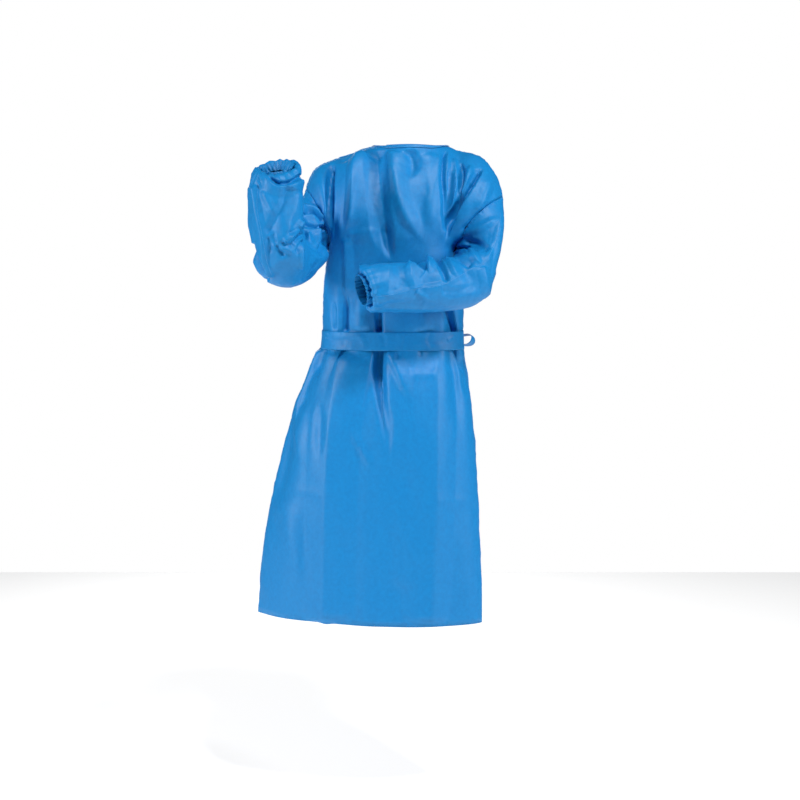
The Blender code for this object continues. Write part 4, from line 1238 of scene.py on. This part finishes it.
# %% The finished sheets
CLOTH = 0.0004
pieces = {}
for name, form in sheets.items():
    replaced = [name, LOWER_HALVES[name]] if name in LOWER_HALVES else [name]
    piece = finish_piece(name + "_cloth", form, gown_cloth, replaced)
    if name not in KNOTS:
        wall = piece.modifiers.new("cloth", "SOLIDIFY")
        wall.thickness = CLOTH
        wall.offset = -1.0
    pieces[name] = piece
print("pieces", len(pieces))

# %% [markdown]
# ## Stitches
#
# The seams are sewn with polyester thread, about three stitches to the centimetre. Against the blue
# they show as a row of pale dots. Each is one small rounded shape, laid on the finished cloth.

# %% Polyester thread, spun and left matt
THREAD_TWIST_MM = 0.8
thread, thread_shader = new_material(
    "polyester_thread_pale_blue", {"Roughness": 0.6, "Sheen Weight": 0.1}
)
thread_place = add_node(thread, "ShaderNodeTexCoord").outputs["Object"]
twist = add_node(
    thread,
    "ShaderNodeTexNoise",
    {"Scale": 1000.0 / THREAD_TWIST_MM, "Detail": 2.0},
    {"Vector": thread_place},
)
thread_shade = add_node(
    thread,
    "ShaderNodeMix",
    {"data_type": "RGBA", 6: linear("3F97DA"), 7: linear("76B6E8")},
    {0: twist.outputs["Fac"]},
)
thread.node_tree.links.new(thread_shade.outputs[2], thread_shader.inputs["Base Color"])
twist_bump = add_node(
    thread, "ShaderNodeBump", {"Strength": 0.4, "Distance": 0.0002}, {"Height": twist.outputs["Fac"]}
)
thread.node_tree.links.new(twist_bump.outputs["Normal"], thread_shader.inputs["Normal"])
print(thread.name, len(thread.node_tree.nodes), "nodes")


# %% Lay one row of stitches on the cloth
STITCH_PITCH = 0.0033
STITCH_SIZE = (0.0023, 0.0009, 0.0005)
STITCH_LIFT = 0.0002


def even_steps(line, pitch):
    """Points a pitch apart along a line of points."""
    passed = np.concatenate([[0.0], np.linalg.norm(np.diff(line, axis=0), axis=1).cumsum()])
    stops = np.arange(0.5 * pitch, passed[-1], pitch)
    return np.stack([np.interp(stops, passed, line[:, axis]) for axis in range(3)], axis=1)


def lay_stitches(form, line, cloth, inset, pitch=STITCH_PITCH):
    """Adds small rounded stitches along a line, inset from it on the cloth."""
    stops = even_steps(line, pitch)
    count = 0
    for before, spot, after in zip(stops, stops[1:], stops[2:]):
        way = Vector(after - before).normalized()
        here, normal, _, _ = cloth.find_nearest(Vector(spot))
        side = normal.cross(way).normalized()
        if inset:
            steps = [side * inset * turn for turn in (1.0, -1.0)]
            spots = [cloth.find_nearest(here + step) for step in steps]
            errors = [(near[0] - here - step).length for near, step in zip(spots, steps)]
            here, normal = spots[errors.index(min(errors))][:2]
            side = normal.cross(way).normalized()
        way = side.cross(normal).normalized()
        matrix = Matrix((way, side, normal)).transposed().to_4x4()
        matrix.translation = here + normal * STITCH_LIFT
        matrix @= Matrix.Diagonal((*(size / 2 for size in STITCH_SIZE), 1.0))
        bmesh.ops.create_icosphere(form, subdivisions=1, radius=1.0, matrix=matrix)
        count += 1
    return count


def finished_tree(name):
    """A search tree over one finished sheet, without its thickness."""
    mesh = pieces[name].data
    return BVHTree.FromPolygons(
        [vertex.co.copy() for vertex in mesh.vertices], [tuple(face.vertices) for face in mesh.polygons]
    )


# %% Two rows for each seam of the trunk
SEAM_INSET = 0.0028
cloth_trees = {name: finished_tree(name) for name in PANELS + ["neck_binding", "belt"]}
stitches = {}
for title, lines in seam_paths.items():
    name = SEAMS[title][0]
    form = bmesh.new()
    count = 0
    for line in lines:
        spots = np.array([pieces[name].data.vertices[index].co for index in line])
        count += lay_stitches(form, spots, cloth_trees[name], SEAM_INSET)
    stitches[title] = form
    print(title, count, "stitches")

# %% The stitches that the photograph shows on the forearm's sewn edge, and its pair
SLEEVE_SEAMS = {
    "sleeve_left": [
        (375.5, 296.7), (388.8, 295.2), (415.3, 289), (441.8, 285), (470.4, 269.7),
        (481.6, 265.6), (492.9, 248.3), (497, 235), (500, 221), (500, 212),
    ],
    "sleeve_right": [(258, 186), (257, 208), (261, 230), (264, 246), (267, 262), (272, 276)],
}
for name, keys in SLEEVE_SEAMS.items():
    line = []
    for column, row in smooth_line(keys):
        hit = cloth_trees[name].ray_cast(EYE, toward(float(column), float(row)))
        if hit[0] is not None:
            line.append(hit[0])
    form = bmesh.new()
    count = lay_stitches(form, np.array(line), cloth_trees[name], 0.0)
    stitches[name.replace("sleeve", "underarm")] = form
    print(name, count, "stitches")


# %% The neck binding's row, all round its rim
BINDING_INSET = 0.0016
BINDING_PITCH = 0.0028


def rim_loops(mesh):
    """Closed rims of a sheet, each as ordered points."""
    uses = Counter(key for polygon in mesh.polygons for key in polygon.edge_keys)
    rims = walks(linked(key for key, used in uses.items() if used == 1))
    return [np.array([mesh.vertices[index].co for index in walk]) for walk in rims]


binding_tree = cloth_trees["neck_binding"]
form = bmesh.new()
count = 0
for rim in rim_loops(pieces["neck_binding"].data):
    count += lay_stitches(form, rim, binding_tree, BINDING_INSET, BINDING_PITCH)
stitches["neck"] = form
print("neck", count, "stitches")

# %% The belt's tack at the front, and all the stitches as pieces
TACK_ROWS = (334.0, 338.0)
TACK_COLUMNS = (325.0, 327.0, 329.5)
TACK_PITCH = 0.0026
belt_tree = cloth_trees["belt"]
form = bmesh.new()
for row in TACK_ROWS:
    line = [belt_tree.ray_cast(EYE, toward(column, row))[0] for column in TACK_COLUMNS]
    lay_stitches(form, np.array(line), belt_tree, 0.0, TACK_PITCH)
stitches["belt"] = form
sewing = {title: finish_piece("stitches_" + title, form, thread) for title, form in stitches.items()}
print("rows of stitches", len(sewing))

# %% [markdown]
# ## How each piece was cut
#
# A sheet's flat size is its cut before it was sewn. The front is 0.76 m wide at the hem and 1.20 m
# long with its shoulders, each back half is 0.50 m wide with its share of the lap, and each sleeve
# is 0.41 m round at the armhole and 0.60 m along its upper edge. The belt is one long tape, and
# the knot takes up the part of it that doesn't show.

CUTS = {
    "front": (0.76, 1.20, "hung", 0.72),
    "back_left": (0.50, 1.20, "hung", 0.45),
    "back_right": (0.50, 1.20, "hung", 0.42),
    "sleeve_left": (0.41, 0.60, "gathered", 0.20),
    "sleeve_right": (0.41, 0.60, "gathered", 0.22),
    "cuff_left": (0.030, 0.27, "gathered", None),
    "cuff_right": (0.030, 0.21, "gathered", None),
    "neck_binding": (0.010, 0.50, "stretched", 0.0036),
    "belt": (0.045, 0.96, "stretched", None),
    "belt_loop_left": (0.026, 0.17, "folded", None),
    "belt_loop_right": (0.026, 0.17, "folded", None),
    "belt_tail_left": (0.030, 0.34, "hung", None),
    "belt_tail_right": (0.030, 0.31, "hung", None),
    "neck_tie_loop_left": (0.012, 0.085, "folded", 0.00077),
    "neck_tie_loop_right": (0.012, 0.085, "folded", 0.00077),
    "neck_tie_tail_left": (0.012, 0.14, "hung", None),
    "neck_tie_tail_right": (0.012, 0.13, "hung", None),
}
for name, (width, length, held, area) in CUTS.items():
    sheet_area = sum(polygon.area for polygon in pieces[name].data.polygons)
    print(name, "cut", round(area or width * length, 4), "now", round(sheet_area, 4), "square metres")

# %% Finish
bpy.context.view_layer.update()
